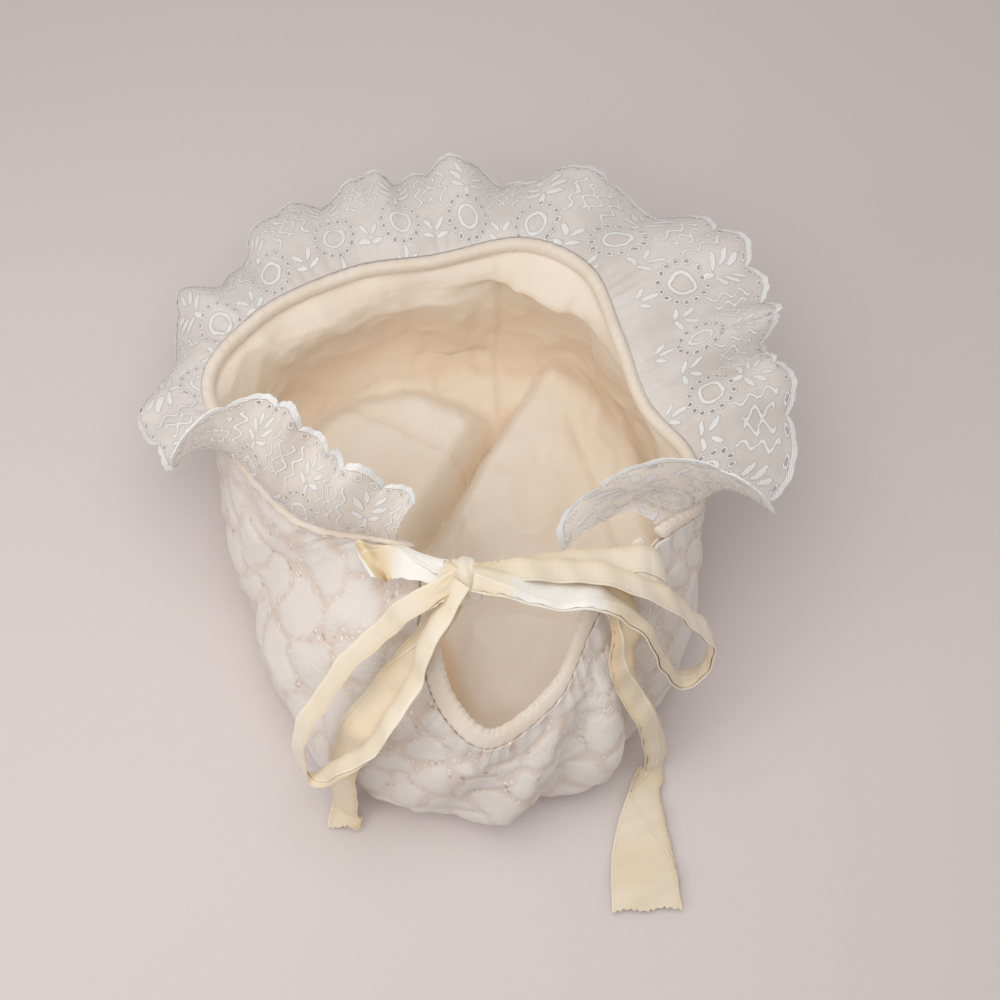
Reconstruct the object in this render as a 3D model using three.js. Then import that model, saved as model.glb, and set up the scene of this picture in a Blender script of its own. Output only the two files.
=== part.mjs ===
// A newborn's lace bonnet, lying on its crown with the face opening up, its two satin ties knotted in a bow.
// Millimetres, +Z up, +Y towards the forehead, origin at the middle of the flat patch that it lies on.
import * as THREE from "three";

// Body
const BODY_WIDTH = 130; // widest part of the body, ear to ear
const BODY_LENGTH = 148; // from nape to forehead
const BODY_HEIGHT = 58; // from the surface to the chin corners
const FOOT_SHARE = 0.8; // the crown's flat patch against the body's outline
const SHELL_WALL = 1.2; // embroidered outer cloth
const LINING_WALL = 1.0; // plain inner cloth
const LAYER_GAP = 0.35; // between one sewn layer and the next
const CREASE_DEPTH = 4; // of a fold in shell and lining together
const PUFF_HEIGHT = 16; // how far the loose lining stands off the shell
const VALLEY_SLOPE = 6; // from the valley of the lining to the full height of its mounds

// Edges
const PIPING_DIAMETER = 3.4; // round cord in the front edge
const BAND_WIDTH = 5.4; // neck band, along the cloth
const BAND_THICKNESS = 3; // neck band, through the cloth
const CORNER_MARGIN = 2.2; // left free at each chin corner, for the ties

// Lace frill
const FRILL_DEPTH = 39;
const FRILL_WALL = 1.0;
const FRILL_STAND = 0.35; // clear of the piping that it is sewn to
// The share of the frill's depth over which its turn about the vertical comes in.
const TURNED_BY = 0.4;
const FRILL_SPREAD = 0.6; // of a place each way, over which the frill's heading is evened out
const FLUTE_COUNT = 13;
const FLUTE_DEPTH = 4.2;
const SCALLOP_COUNT = 34;
const SCALLOP_DEPTH = 2.2;

// Satin ties
const RIBBON_WIDTH = 18;
const RIBBON_WALL = 0.9;
const RIBBON_CLEARANCE = 0.5; // above what a ribbon lies on
const KNOT_LENGTH = 9;
const KNOT_WIDTH = 11;
const KNOT_HEIGHT = 7;
const KNOT_ALONG = 0.23; // place between the chin corners, from the left one
const KNOT_DROP = 10; // from the line between the chin corners towards the nape
const KNOT_LIFT = 5.2; // middle of the knot above the chin corners
const KNOT_TURN = 22; // degrees, from straight across
const LEFT_LOOP_REACH = 52;
const RIGHT_LOOP_REACH = 58;
const LEFT_TAIL_REACH = 52;
const RIGHT_TAIL_REACH = 78;
const LEFT_STRAP_REACH = 27;
const RIGHT_STRAP_REACH = 49;

// Meshes
const AROUND = 72; // faces round the body
const FRILL_STEPS = 136;
const FRILL_BANDS = 3;

const HALF_WIDTH = BODY_WIDTH / 2;
const HALF_LENGTH = BODY_LENGTH / 2;
const MOUND_EDGE = 0.6; // share of a mound's reach that is its slope
const LINING_DEPTH = SHELL_WALL + LAYER_GAP; // from the outside of the shell to the lining
const EDGE_DEPTH = LINING_DEPTH + LINING_WALL; // both layers together

// Places round the body, clockwise from above. Rim and belly as shares of half width, half length and height.
const PLACES = [
  { name: "nape", rimX: 0.13, rimY: -0.865, rimZ: 0.62, bellyX: 0.08, bellyY: -1.0, bellyZ: 0.22 },
  { name: "nape_left", rimX: -0.05, rimY: -0.77, rimZ: 0.72, bellyX: -0.31, bellyY: -0.94, bellyZ: 0.21 },
  { name: "neck_left", rimX: -0.13, rimY: -0.585, rimZ: 0.86, bellyX: -0.61, bellyY: -0.73, bellyZ: 0.21 },
  { name: "chin_left", rimX: -0.17, rimY: -0.31, rimZ: 1.0, bellyX: -0.83, bellyY: -0.38, bellyZ: 0.24 },
  { name: "jaw_left", rimX: -0.64, rimY: -0.135, rimZ: 0.88, bellyX: -0.92, bellyY: -0.1, bellyZ: 0.29 },
  { name: "temple_left", rimX: -1.01, rimY: 0.365, rimZ: 0.74, bellyX: -0.985, bellyY: 0.3, bellyZ: 0.33 },
  { name: "brow_left", rimX: -0.85, rimY: 0.69, rimZ: 0.72, bellyX: -0.86, bellyY: 0.61, bellyZ: 0.31 },
  { name: "top_left", rimX: -0.48, rimY: 0.89, rimZ: 0.72, bellyX: -0.55, bellyY: 0.82, bellyZ: 0.28 },
  { name: "top_middle", rimX: -0.125, rimY: 0.935, rimZ: 0.76, bellyX: -0.18, bellyY: 0.91, bellyZ: 0.28 },
  { name: "top", rimX: 0.25, rimY: 0.985, rimZ: 0.8, bellyX: 0.19, bellyY: 0.93, bellyZ: 0.28 },
  { name: "top_right", rimX: 0.535, rimY: 0.85, rimZ: 0.83, bellyX: 0.53, bellyY: 0.82, bellyZ: 0.28 },
  { name: "brow_right", rimX: 0.665, rimY: 0.56, rimZ: 0.86, bellyX: 0.76, bellyY: 0.6, bellyZ: 0.28 },
  { name: "side_right", rimX: 0.755, rimY: 0.3, rimZ: 0.86, bellyX: 0.9, bellyY: 0.33, bellyZ: 0.28 },
  { name: "temple_right", rimX: 0.91, rimY: 0.125, rimZ: 0.81, bellyX: 0.985, bellyY: 0.07, bellyZ: 0.29 },
  { name: "jaw_right", rimX: 0.94, rimY: -0.08, rimZ: 0.84, bellyX: 0.985, bellyY: -0.18, bellyZ: 0.28 },
  { name: "chin_right", rimX: 0.75, rimY: -0.265, rimZ: 0.98, bellyX: 0.89, bellyY: -0.44, bellyZ: 0.24 },
  { name: "neck_right", rimX: 0.53, rimY: -0.485, rimZ: 0.9, bellyX: 0.71, bellyY: -0.71, bellyZ: 0.21 },
  { name: "nape_right", rimX: 0.385, rimY: -0.72, rimZ: 0.72, bellyX: 0.43, bellyY: -0.92, bellyZ: 0.21 },
];
const placeOf = (name) => PLACES.findIndex((p) => p.name === name);
const CHIN_LEFT = placeOf("chin_left");
const CHIN_RIGHT = placeOf("chin_right");

// Folds of shell and lining. at, drift and width in places round the body;
// top and bottom down the wall, 0 to 2.
const CREASES = [
  { at: 16.5, drift: 0.7, width: 0.3, depth: -1.0, top: 0.12, bottom: 1.6 },
  { at: 16.05, drift: 0.5, width: 0.28, depth: 0.75, top: 0.12, bottom: 1.5 },
  { at: 15.6, drift: 0.45, width: 0.3, depth: -0.75, top: 0.15, bottom: 1.4 },
  { at: 17.0, drift: 0.7, width: 0.3, depth: 0.7, top: 0.12, bottom: 1.6 },
  { at: 17.7, drift: 0.5, width: 0.3, depth: -0.55, top: 0.1, bottom: 1.5 },
  { at: 0.7, drift: 0.35, width: 0.3, depth: -0.6, top: 0.1, bottom: 1.4 },
  { at: 1.3, drift: 0.3, width: 0.3, depth: 0.5, top: 0.1, bottom: 1.4 },
  { at: 2.0, drift: 0.2, width: 0.32, depth: -0.55, top: 0.1, bottom: 1.3 },
  { at: 3.6, drift: -0.3, width: 0.45, depth: -0.8, top: 0.2, bottom: 1.5 },
  { at: 5.5, drift: 0.2, width: 0.4, depth: -0.6, top: 0.15, bottom: 1.3 },
  { at: 8.3, drift: 0.1, width: 0.4, depth: -0.8, top: 0.1, bottom: 1.4 },
  { at: 10.7, drift: 0.1, width: 0.4, depth: -0.7, top: 0.1, bottom: 1.4 },
  { at: 13.7, drift: 0.2, width: 0.4, depth: -0.8, top: 0.15, bottom: 1.5 },
];

// Where the loose lining stands off the shell: pockets on the wall, then mounds on the floor.
const POCKETS = [
  { at: 9.75, width: 0.95, middle: 0.3, above: 0.3, below: 0.13, height: 0.42 },
  { at: 6.7, width: 0.7, middle: 0.45, above: 0.35, below: 0.3, height: 0.28 },
  { at: 13.0, width: 0.8, middle: 0.7, above: 0.45, below: 0.4, height: 0.25 },
];
// Middle and reach as shares of half width and half length. Side is 1 left of the valley and -1 right of it.
const MOUNDS = [
  { name: "left", x: -0.26, y: 0.28, reachX: 0.66, reachY: 0.5, height: 0.95, side: 1 },
  { name: "right", x: 0.42, y: 0.2, reachX: 0.66, reachY: 0.8, height: 0.85, side: -1 },
  { name: "nape", x: 0.3, y: -0.45, reachX: 0.4, reachY: 0.36, height: 0.6, side: 0 },
];
// The valley between the left and the right mound, from its top to its foot.
const VALLEY = { topX: 0.22, topY: 0.6, footX: -0.17, footY: -0.01 };

// The frill along the front edge, from the left chin corner to the right. Lean from straight out, in degrees,
// at the seam and at the free edge; 90 stands up and 180 lies in over the opening.
// Turn is about the vertical.
const FRILL_LEANS = [
  { along: 0.0, seam: 85, edge: 150, reach: 0.42, turn: 0 },
  { along: 0.06, seam: 78, edge: 158, reach: 0.6, turn: 0 },
  { along: 0.11, seam: 74, edge: 162, reach: 0.74, turn: 0 },
  { along: 0.15, seam: 70, edge: 152, reach: 0.8, turn: 4 },
  { along: 0.178, seam: 58, edge: 112, reach: 0.72, turn: 16 },
  { along: 0.2, seam: 36, edge: 38, reach: 0.54, turn: 36 },
  { along: 0.22, seam: 15, edge: -8, reach: 0.45, turn: 36 },
  { along: 0.245, seam: 0, edge: -50, reach: 0.5, turn: 18 },
  { along: 0.28, seam: -6, edge: -70, reach: 0.6, turn: 0 },
  { along: 0.345, seam: 8, edge: -58, reach: 0.72, turn: 0 },
  { along: 0.44, seam: 20, edge: -38, reach: 0.84, turn: 0 },
  { along: 0.53, seam: 22, edge: -30, reach: 0.84, turn: 0 },
  { along: 0.61, seam: 20, edge: -34, reach: 0.68, turn: 0 },
  { along: 0.67, seam: 20, edge: -32, reach: 0.82, turn: 0 },
  { along: 0.73, seam: 22, edge: -12, reach: 1.06, turn: 0 },
  { along: 0.8, seam: 22, edge: -12, reach: 1.04, turn: 0 },
  { along: 0.855, seam: 16, edge: -16, reach: 0.92, turn: 0 },
  { along: 0.89, seam: 14, edge: -20, reach: 0.78, turn: -14 },
  { along: 0.912, seam: 24, edge: -14, reach: 0.58, turn: -40 },
  { along: 0.934, seam: 50, edge: 45, reach: 0.52, turn: -24 },
  { along: 0.957, seam: 84, edge: 150, reach: 0.62, turn: 14 },
  { along: 0.978, seam: 96, edge: 190, reach: 0.68, turn: 36 },
  { along: 1.0, seam: 102, edge: 198, reach: 0.64, turn: 52 },
];

// The ties. Ahead and aside are shares of each piece's reach, from the middle of the knot along its heading;
// lift is a share of the body's height, tilt of the cloth is in degrees, spread is the width left unfolded.
const TIES = {
  tail_left: [
    { ahead: 0.061, aside: 0.002, lift: 1.016, tilt: 0, spread: 0.42 },
    { ahead: 0.295, aside: -0.007, lift: 0.897, tilt: 0, spread: 0.42 },
    { ahead: 0.503, aside: -0.035, lift: 0.724, tilt: 5, spread: 0.5 },
    { ahead: 0.694, aside: -0.039, lift: 0.517, tilt: 5, spread: 0.54 },
    { ahead: 0.843, aside: -0.05, lift: 0.19, tilt: 0, spread: 0.5 },
    { ahead: 0.938, aside: -0.012, lift: 0.041, tilt: 0, spread: 0.5 },
    { ahead: 1.027, aside: 0.044, lift: 0.021, tilt: 0, spread: 0.52 },
  ],
  tail_right: [
    { ahead: 0.046, aside: 0.077, lift: 1.0, tilt: 0, spread: 0.36 },
    { ahead: 0.166, aside: 0.252, lift: 0.957, tilt: 0, spread: 0.38 },
    { ahead: 0.274, aside: 0.338, lift: 0.81, tilt: 0, spread: 0.42 },
    { ahead: 0.365, aside: 0.336, lift: 0.586, tilt: 8, spread: 0.44 },
    { ahead: 0.427, aside: 0.273, lift: 0.328, tilt: 12, spread: 0.38 },
    { ahead: 0.517, aside: 0.274, lift: 0.138, tilt: 8, spread: 0.34 },
    { ahead: 0.626, aside: 0.306, lift: 0.041, tilt: 0, spread: 0.4 },
    { ahead: 0.687, aside: 0.225, lift: 0.021, tilt: 0, spread: 0.46 },
    { ahead: 0.776, aside: 0.143, lift: 0.021, tilt: 0, spread: 0.72 },
    { ahead: 0.87, aside: 0.072, lift: 0.021, tilt: 0, spread: 0.92 },
    { ahead: 0.998, aside: -0.012, lift: 0.021, tilt: 0, spread: 1.0 },
  ],
  strap_left: [
    { ahead: 0.249, aside: -0.035, lift: 1.079, tilt: 0, spread: 0.36 },
    { ahead: 0.448, aside: -0.07, lift: 1.079, tilt: 0, spread: 0.42 },
    { ahead: 0.672, aside: -0.116, lift: 1.041, tilt: 0, spread: 0.5 },
    { ahead: 0.921, aside: -0.107, lift: 0.922, tilt: 0, spread: 0.6 },
  ],
  strap_right: [
    { ahead: 0.162, aside: 0.012, lift: 1.079, tilt: 0, spread: 0.36 },
    { ahead: 0.402, aside: 0.045, lift: 1.069, tilt: 0, spread: 0.46 },
    { ahead: 0.642, aside: 0.057, lift: 1.06, tilt: 0, spread: 0.54 },
    { ahead: 0.834, aside: 0.057, lift: 1.052, tilt: 0, spread: 0.58 },
    { ahead: 0.95, aside: 0.055, lift: 0.957, tilt: 0, spread: 0.55 },
  ],
  loop_left: [
    { ahead: 0.112, aside: 0.003, lift: 1.1, tilt: 15, spread: 0.34 },
    { ahead: 0.248, aside: -0.034, lift: 1.062, tilt: 18, spread: 0.36 },
    { ahead: 0.395, aside: -0.071, lift: 1.017, tilt: 24, spread: 0.38 },
    { ahead: 0.576, aside: -0.074, lift: 0.948, tilt: 28, spread: 0.38 },
    { ahead: 0.758, aside: -0.049, lift: 0.862, tilt: 30, spread: 0.38 },
    { ahead: 0.921, aside: -0.015, lift: 0.741, tilt: 30, spread: 0.38 },
    { ahead: 1.008, aside: 0.034, lift: 0.621, tilt: 32, spread: 0.38 },
    { ahead: 1.018, aside: 0.103, lift: 0.509, tilt: 36, spread: 0.38 },
    { ahead: 0.935, aside: 0.187, lift: 0.466, tilt: 38, spread: 0.36 },
    { ahead: 0.786, aside: 0.246, lift: 0.534, tilt: 34, spread: 0.34 },
    { ahead: 0.623, aside: 0.241, lift: 0.655, tilt: 28, spread: 0.32 },
    { ahead: 0.457, aside: 0.187, lift: 0.81, tilt: 22, spread: 0.32 },
    { ahead: 0.289, aside: 0.109, lift: 0.948, tilt: 16, spread: 0.32 },
    { ahead: 0.133, aside: 0.055, lift: 1.026, tilt: 10, spread: 0.32 },
  ],
  loop_right: [
    { ahead: 0.121, aside: -0.015, lift: 1.1, tilt: -5, spread: 0.34 },
    { ahead: 0.296, aside: 0.003, lift: 1.1, tilt: -10, spread: 0.38 },
    { ahead: 0.479, aside: 0.009, lift: 1.097, tilt: -15, spread: 0.4 },
    { ahead: 0.656, aside: -0.005, lift: 1.069, tilt: -20, spread: 0.4 },
    { ahead: 0.816, aside: -0.018, lift: 0.983, tilt: -22, spread: 0.42 },
    { ahead: 0.951, aside: -0.044, lift: 0.862, tilt: -28, spread: 0.42 },
    { ahead: 1.036, aside: -0.075, lift: 0.707, tilt: -30, spread: 0.42 },
    { ahead: 1.011, aside: -0.131, lift: 0.569, tilt: -32, spread: 0.42 },
    { ahead: 0.904, aside: -0.174, lift: 0.534, tilt: -32, spread: 0.4 },
    { ahead: 0.791, aside: -0.154, lift: 0.655, tilt: -28, spread: 0.4 },
    { ahead: 0.677, aside: -0.092, lift: 0.81, tilt: -24, spread: 0.38 },
    { ahead: 0.538, aside: -0.057, lift: 0.931, tilt: -20, spread: 0.38 },
    { ahead: 0.349, aside: -0.047, lift: 0.983, tilt: -15, spread: 0.36 },
    { ahead: 0.108, aside: -0.065, lift: 1.007, tilt: -5, spread: 0.34 },
  ],
};
// Degrees from straight across to the right.
const HEADINGS = {
  tail_left: 231,
  tail_right: 306,
  strap_left: 171,
  strap_right: 3,
  loop_left: 218,
  loop_right: -3,
};
const REACHES = {
  tail_left: LEFT_TAIL_REACH,
  tail_right: RIGHT_TAIL_REACH,
  strap_left: LEFT_STRAP_REACH,
  strap_right: RIGHT_STRAP_REACH,
  loop_left: LEFT_LOOP_REACH,
  loop_right: RIGHT_LOOP_REACH,
};

const UP = new THREE.Vector3(0, 0, 1);
const radians = THREE.MathUtils.degToRad;
const mix = THREE.MathUtils.lerp;

// Smooth curves through table rows

function hermite(a, b, c, d, t) {
  const t2 = t * t;
  const t3 = t2 * t;
  return 0.5 * (2 * b + (c - a) * t + (2 * a - 5 * b + 4 * c - d) * t2 + (3 * b - a - 3 * c + d) * t3);
}

function aroundBody(column, place) {
  const count = PLACES.length;
  const whole = Math.floor(place);
  const row = (k) => PLACES[(((whole + k) % count) + count) % count][column];
  return hermite(row(-1), row(0), row(1), row(2), place - whole);
}

// The row values at a share along an open table, with the shares in one column or evenly spaced.
function alongTable(rows, column, share, key) {
  const last = rows.length - 1;
  let index = share * last;
  if (key) {
    let k = 0;
    while (k < last - 1 && rows[k + 1][key] < share) k += 1;
    index = k + (share - rows[k][key]) / (rows[k + 1][key] - rows[k][key]);
  }
  const whole = Math.min(Math.max(Math.floor(index), 0), last - 1);
  const row = (k) => rows[Math.min(Math.max(whole + k, 0), last)][column];
  return hermite(row(-1), row(0), row(1), row(2), index - whole);
}

function nearness(distance, width) {
  return Math.exp(-((distance / width) ** 2));
}

function placesApart(a, b) {
  const count = PLACES.length;
  const d = (((a - b) % count) + count) % count;
  return d > count / 2 ? d - count : d;
}

// The body's surface. Down runs 0 to 1 from rim to belly, to 2 at the flat patch and to 3 at its middle.

function plainPoint(place, down) {
  const rim = new THREE.Vector3(
    aroundBody("rimX", place) * HALF_WIDTH,
    aroundBody("rimY", place) * HALF_LENGTH,
    aroundBody("rimZ", place) * BODY_HEIGHT,
  );
  const belly = new THREE.Vector3(
    aroundBody("bellyX", place) * HALF_WIDTH,
    aroundBody("bellyY", place) * HALF_LENGTH,
    aroundBody("bellyZ", place) * BODY_HEIGHT,
  );
  const foot = new THREE.Vector3(belly.x * FOOT_SHARE, belly.y * FOOT_SHARE, 0);
  if (down <= 1) {
    const shoulder = rim.clone().lerp(belly, 0.35);
    shoulder.z = mix(rim.z, belly.z, 0.18);
    const side = new THREE.Vector3(belly.x, belly.y, mix(belly.z, rim.z, 0.45));
    return new THREE.CubicBezierCurve3(rim, shoulder, side, belly).getPoint(down);
  }
  if (down <= 2) {
    const under = new THREE.Vector3(belly.x, belly.y, 0);
    return new THREE.QuadraticBezierCurve3(belly, under, foot).getPoint(down - 1);
  }
  return foot.multiplyScalar(3 - down);
}

function creaseAt(place, down) {
  return CREASES.reduce((sum, c) => {
    const off = placesApart(place, c.at + c.drift * down);
    const into = (down - c.top) / (c.bottom - c.top);
    const window = into > 0 && into < 1 ? Math.sin(Math.PI * into) : 0;
    return sum + c.depth * CREASE_DEPTH * window * nearness(off, c.width);
  }, 0);
}

const POINT_SIZE = 1e-4; // points nearer than this are one point
const STEP = 0.02; // of the differences that give a surface its normal

function normalOf(surface, place, down) {
  const above = Math.max(down - STEP, 0);
  const across = surface(place + STEP, down).sub(surface(place - STEP, down));
  const along = surface(place, down + STEP).sub(surface(place, above));
  return across.cross(along).normalize();
}

function shellPoint(place, down) {
  const point = plainPoint(place, down);
  const depth = creaseAt(place, down);
  return depth === 0 ? point : point.addScaledVector(normalOf(plainPoint, place, down), depth);
}

// How far a point lies left of the valley, seen from above.
function leftOfValley(point) {
  const top = new THREE.Vector2(VALLEY.topX * HALF_WIDTH, VALLEY.topY * HALF_LENGTH);
  const way = new THREE.Vector2(VALLEY.footX * HALF_WIDTH, VALLEY.footY * HALF_LENGTH).sub(top).normalize();
  return (point.x - top.x) * way.y - (point.y - top.y) * way.x;
}

// How far the lining bulges off the wall, and how far it stands up from the floor.
function looseAt(place, down, point) {
  const pockets = POCKETS.reduce((most, p) => {
    const fall = down < p.middle ? p.above : p.below;
    const here = nearness(placesApart(place, p.at), p.width) * nearness(down - p.middle, fall);
    return Math.max(most, p.height * here * Math.min(1, down / p.above));
  }, 0);
  const mounds = MOUNDS.reduce((most, m) => {
    const x = (point.x / HALF_WIDTH - m.x) / m.reachX;
    const y = (point.y / HALF_LENGTH - m.y) / m.reachY;
    const rim = THREE.MathUtils.smoothstep(1 - Math.hypot(x, y), 0, MOUND_EDGE);
    const bank = m.side ? THREE.MathUtils.smoothstep(m.side * leftOfValley(point), 0, VALLEY_SLOPE) : 1;
    return Math.max(most, m.height * rim * bank * Math.min(1, down / 2) ** 2);
  }, 0);
  return { bulge: PUFF_HEIGHT * pockets, rise: PUFF_HEIGHT * mounds };
}

// A point of one layer, at a depth in from the outside of the shell.
function layerPoint(place, down, depth, loose) {
  const point = shellPoint(place, down);
  const normal = normalOf(shellPoint, place, Math.min(down, 2.9));
  const { bulge, rise } = loose ? looseAt(place, down, point) : { bulge: 0, rise: 0 };
  return point.addScaledVector(normal, -depth - bulge).addScaledVector(UP, rise);
}

// Closed meshes

function solidFrom(triangles) {
  const geometry = new THREE.BufferGeometry();
  const volume = triangles.reduce((sum, [a, b, c]) => sum + a.dot(b.clone().cross(c)), 0);
  const whole = triangles.filter(([a, b, c]) => {
    return Math.min(a.distanceTo(b), b.distanceTo(c), c.distanceTo(a)) > POINT_SIZE;
  });
  const values = whole.flatMap(([a, b, c]) => {
    const corners = volume < 0 ? [a, c, b] : [a, b, c];
    return corners.flatMap((p) => [p.x, p.y, p.z]);
  });
  geometry.setAttribute("position", new THREE.Float32BufferAttribute(values, 3));
  geometry.computeVertexNormals();
  return geometry;
}

function quad(a, b, c, d) {
  return [
    [a, b, c],
    [a, c, d],
  ];
}

// A wall between two nets of points that close round the body, joined at the rim. A net whose last row is
// not a single point is capped flat.
function cupSolid(outer, inner) {
  const triangles = [];
  const count = outer[0].length;
  const next = (i) => (i + 1) % count;
  [outer, inner].forEach((net, side) => {
    for (let row = 0; row < net.length - 1; row += 1) {
      for (let i = 0; i < count; i += 1) {
        const [a, b] = [net[row][i], net[row][next(i)]];
        const [c, d] = [net[row + 1][next(i)], net[row + 1][i]];
        triangles.push(...(side ? quad(a, d, c, b) : quad(a, b, c, d)));
      }
    }
    const ring = net[net.length - 1];
    if (ring[0].distanceTo(ring[1]) < POINT_SIZE) return;
    const flat = ring.map((p) => new THREE.Vector2(p.x, p.y));
    THREE.ShapeUtils.triangulateShape(flat, []).forEach(([a, b, c]) => {
      const left = THREE.ShapeUtils.area([flat[a], flat[b], flat[c]]) > 0;
      const up = left ? [a, b, c] : [a, c, b];
      triangles.push((side ? up : up.reverse()).map((k) => ring[k]));
    });
  });
  for (let i = 0; i < count; i += 1) {
    triangles.push(...quad(outer[0][i], inner[0][i], inner[0][next(i)], outer[0][next(i)]));
  }
  return solidFrom(triangles);
}

// A closed strip through sections that all have the same number of corners, an even one.
function loftSolid(sections) {
  const triangles = [];
  const count = sections[0].length;
  for (let s = 0; s < sections.length - 1; s += 1) {
    for (let i = 0; i < count; i += 1) {
      const j = (i + 1) % count;
      triangles.push(...quad(sections[s][i], sections[s + 1][i], sections[s + 1][j], sections[s][j]));
    }
  }
  const cap = (ring, flip) => {
    for (let k = 0; k < count / 2 - 1; k += 1) {
      const corners = [ring[k], ring[k + 1], ring[count - 2 - k], ring[count - 1 - k]];
      triangles.push(...quad(...(flip ? corners.reverse() : corners)));
    }
  };
  cap(sections[0], false);
  cap(sections[sections.length - 1], true);
  return solidFrom(triangles);
}

// Body

const WALL_ROWS = [0, 0.17, 0.34, 0.5, 0.66, 0.83, 1, 1.33, 1.66, 2];
const FLOOR_ROWS = [2.22, 2.44, 2.66, 2.84, 3];

function net(rows, depth, loose) {
  return rows.map((down) =>
    Array.from({ length: AROUND }, (_, i) => layerPoint((i * PLACES.length) / AROUND, down, depth, loose)),
  );
}

function shellGeometry() {
  return cupSolid(net(WALL_ROWS, 0, false), net(WALL_ROWS, SHELL_WALL, false));
}

function liningGeometry() {
  const rows = [...WALL_ROWS, ...FLOOR_ROWS];
  return cupSolid(net(rows, LINING_DEPTH, true), net(rows, EDGE_DEPTH, true));
}

// The rim at one place: its middle, the way out of the cloth, the way along and the way out from the body.
function rimAt(place) {
  const outside = layerPoint(place, 0, 0, false);
  const inside = layerPoint(place, 0, EDGE_DEPTH, false);
  const below = layerPoint(place, 0.1, EDGE_DEPTH / 2, false);
  const middle = outside.clone().lerp(inside, 0.5);
  const up = middle.clone().sub(below).normalize();
  const along = layerPoint(place + STEP, 0, 0, false).sub(layerPoint(place - STEP, 0, 0, false)).normalize();
  const out = UP.clone().cross(along).setZ(0).normalize();
  return { middle, up, along, out, through: outside.sub(inside).normalize() };
}

function placeSpan() {
  const front = Math.hypot(
    (PLACES[CHIN_LEFT + 1].rimX - PLACES[CHIN_LEFT].rimX) * HALF_WIDTH,
    (PLACES[CHIN_LEFT + 1].rimY - PLACES[CHIN_LEFT].rimY) * HALF_LENGTH,
  );
  return CORNER_MARGIN / front;
}

function tubeAlongRim(from, to, steps, wide, thick, sides) {
  const sections = Array.from({ length: steps + 1 }, (_, s) => {
    const { middle, up, through } = rimAt(mix(from, to, s / steps));
    const centre = middle.clone().addScaledVector(up, wide / 2 + LAYER_GAP);
    return Array.from({ length: sides }, (_unused, k) => {
      const angle = ((k + 0.5) * 2 * Math.PI) / sides;
      return centre
        .clone()
        .addScaledVector(up, (Math.cos(angle) * wide) / 2)
        .addScaledVector(through, (Math.sin(angle) * thick) / 2);
    });
  });
  return loftSolid(sections);
}

const FRONT_FROM = CHIN_LEFT + placeSpan();
const FRONT_TO = CHIN_RIGHT - placeSpan();
const FRILL_FROM = CHIN_LEFT + 3.2 * placeSpan();
const FRILL_TO = CHIN_RIGHT - 3.2 * placeSpan();
const NECK_FROM = CHIN_RIGHT + 2 * placeSpan() - PLACES.length;
const NECK_TO = CHIN_LEFT - 2 * placeSpan();

function pipingGeometry() {
  return tubeAlongRim(FRONT_FROM, FRONT_TO, 48, PIPING_DIAMETER, PIPING_DIAMETER, 6);
}

function bandGeometry() {
  return tubeAlongRim(NECK_FROM, NECK_TO, 26, BAND_WIDTH, BAND_THICKNESS, 6);
}

// Frill

const SEAM_SAMPLES = 120;
const seam = new THREE.CatmullRomCurve3(
  Array.from({ length: SEAM_SAMPLES + 1 }, (_, s) => rimAt(mix(FRILL_FROM, FRILL_TO, s / SEAM_SAMPLES)).middle),
);

function frillPoint(share, across) {
  const place = mix(FRILL_FROM, FRILL_TO, seam.getUtoTmapping(Math.min(Math.max(share, 0), 1)));
  const { middle, up } = rimAt(place);
  const spread = [-FRILL_SPREAD, 0, FRILL_SPREAD];
  const out = spread.reduce((sum, d) => sum.add(rimAt(place + d).out), new THREE.Vector3());
  const value = (column) => alongTable(FRILL_LEANS, column, share, "along");
  out.normalize();
  const root = value("seam");
  const edge = value("edge");
  const turn = radians(value("turn"));
  const scallop = SCALLOP_DEPTH * (1 - Math.abs(Math.sin(Math.PI * SCALLOP_COUNT * share)));
  const reach = value("reach") * FRILL_DEPTH - scallop * across ** 3;
  const heading = (w, more) => {
    const angle = radians(mix(root, edge, w ** 0.8) + more);
    const way = out.clone().applyAxisAngle(UP, turn * Math.min(1, w / TURNED_BY));
    return way.multiplyScalar(Math.cos(angle)).addScaledVector(UP, Math.sin(angle));
  };
  const start = middle.clone().addScaledVector(up, PIPING_DIAMETER / 2 + LAYER_GAP);
  const point = start.addScaledVector(heading(0, 0), PIPING_DIAMETER / 2 + FRILL_STAND);
  const pieces = 8;
  for (let k = 0; k < pieces; k += 1) {
    point.addScaledVector(heading(((k + 0.5) / pieces) * across, 0), (reach * across) / pieces);
  }
  const beat = share + 0.006 * Math.sin(14 * share) + 0.004 * Math.sin(37 * share + 1);
  const depth = FLUTE_DEPTH * (0.75 + 0.25 * Math.sin(23 * share));
  const flute = Math.sin(2 * Math.PI * FLUTE_COUNT * beat) * depth;
  const face = heading(across, 90);
  return point.addScaledVector(face, flute * Math.min(1, across * 1.15) ** 1.3);
}

function frillGeometry() {
  const sections = Array.from({ length: FRILL_STEPS + 1 }, (_, s) => {
    const share = s / FRILL_STEPS;
    const step = 0.5 / FRILL_STEPS;
    const rows = Array.from({ length: FRILL_BANDS + 1 }, (_unused, k) => {
      const across = k / FRILL_BANDS;
      const point = frillPoint(share, across);
      const along = frillPoint(share + step, across).sub(frillPoint(share - step, across));
      const outward = frillPoint(share, across + 0.05).sub(frillPoint(share, across));
      const face = outward.cross(along).normalize();
      return { point, face };
    });
    const front = rows.map(({ point, face }) => point.clone().addScaledVector(face, FRILL_WALL / 2));
    const back = rows.map(({ point, face }) => point.clone().addScaledVector(face, -FRILL_WALL / 2));
    return [...front, ...back.reverse()];
  });
  return loftSolid(sections);
}

// Ties

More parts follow.
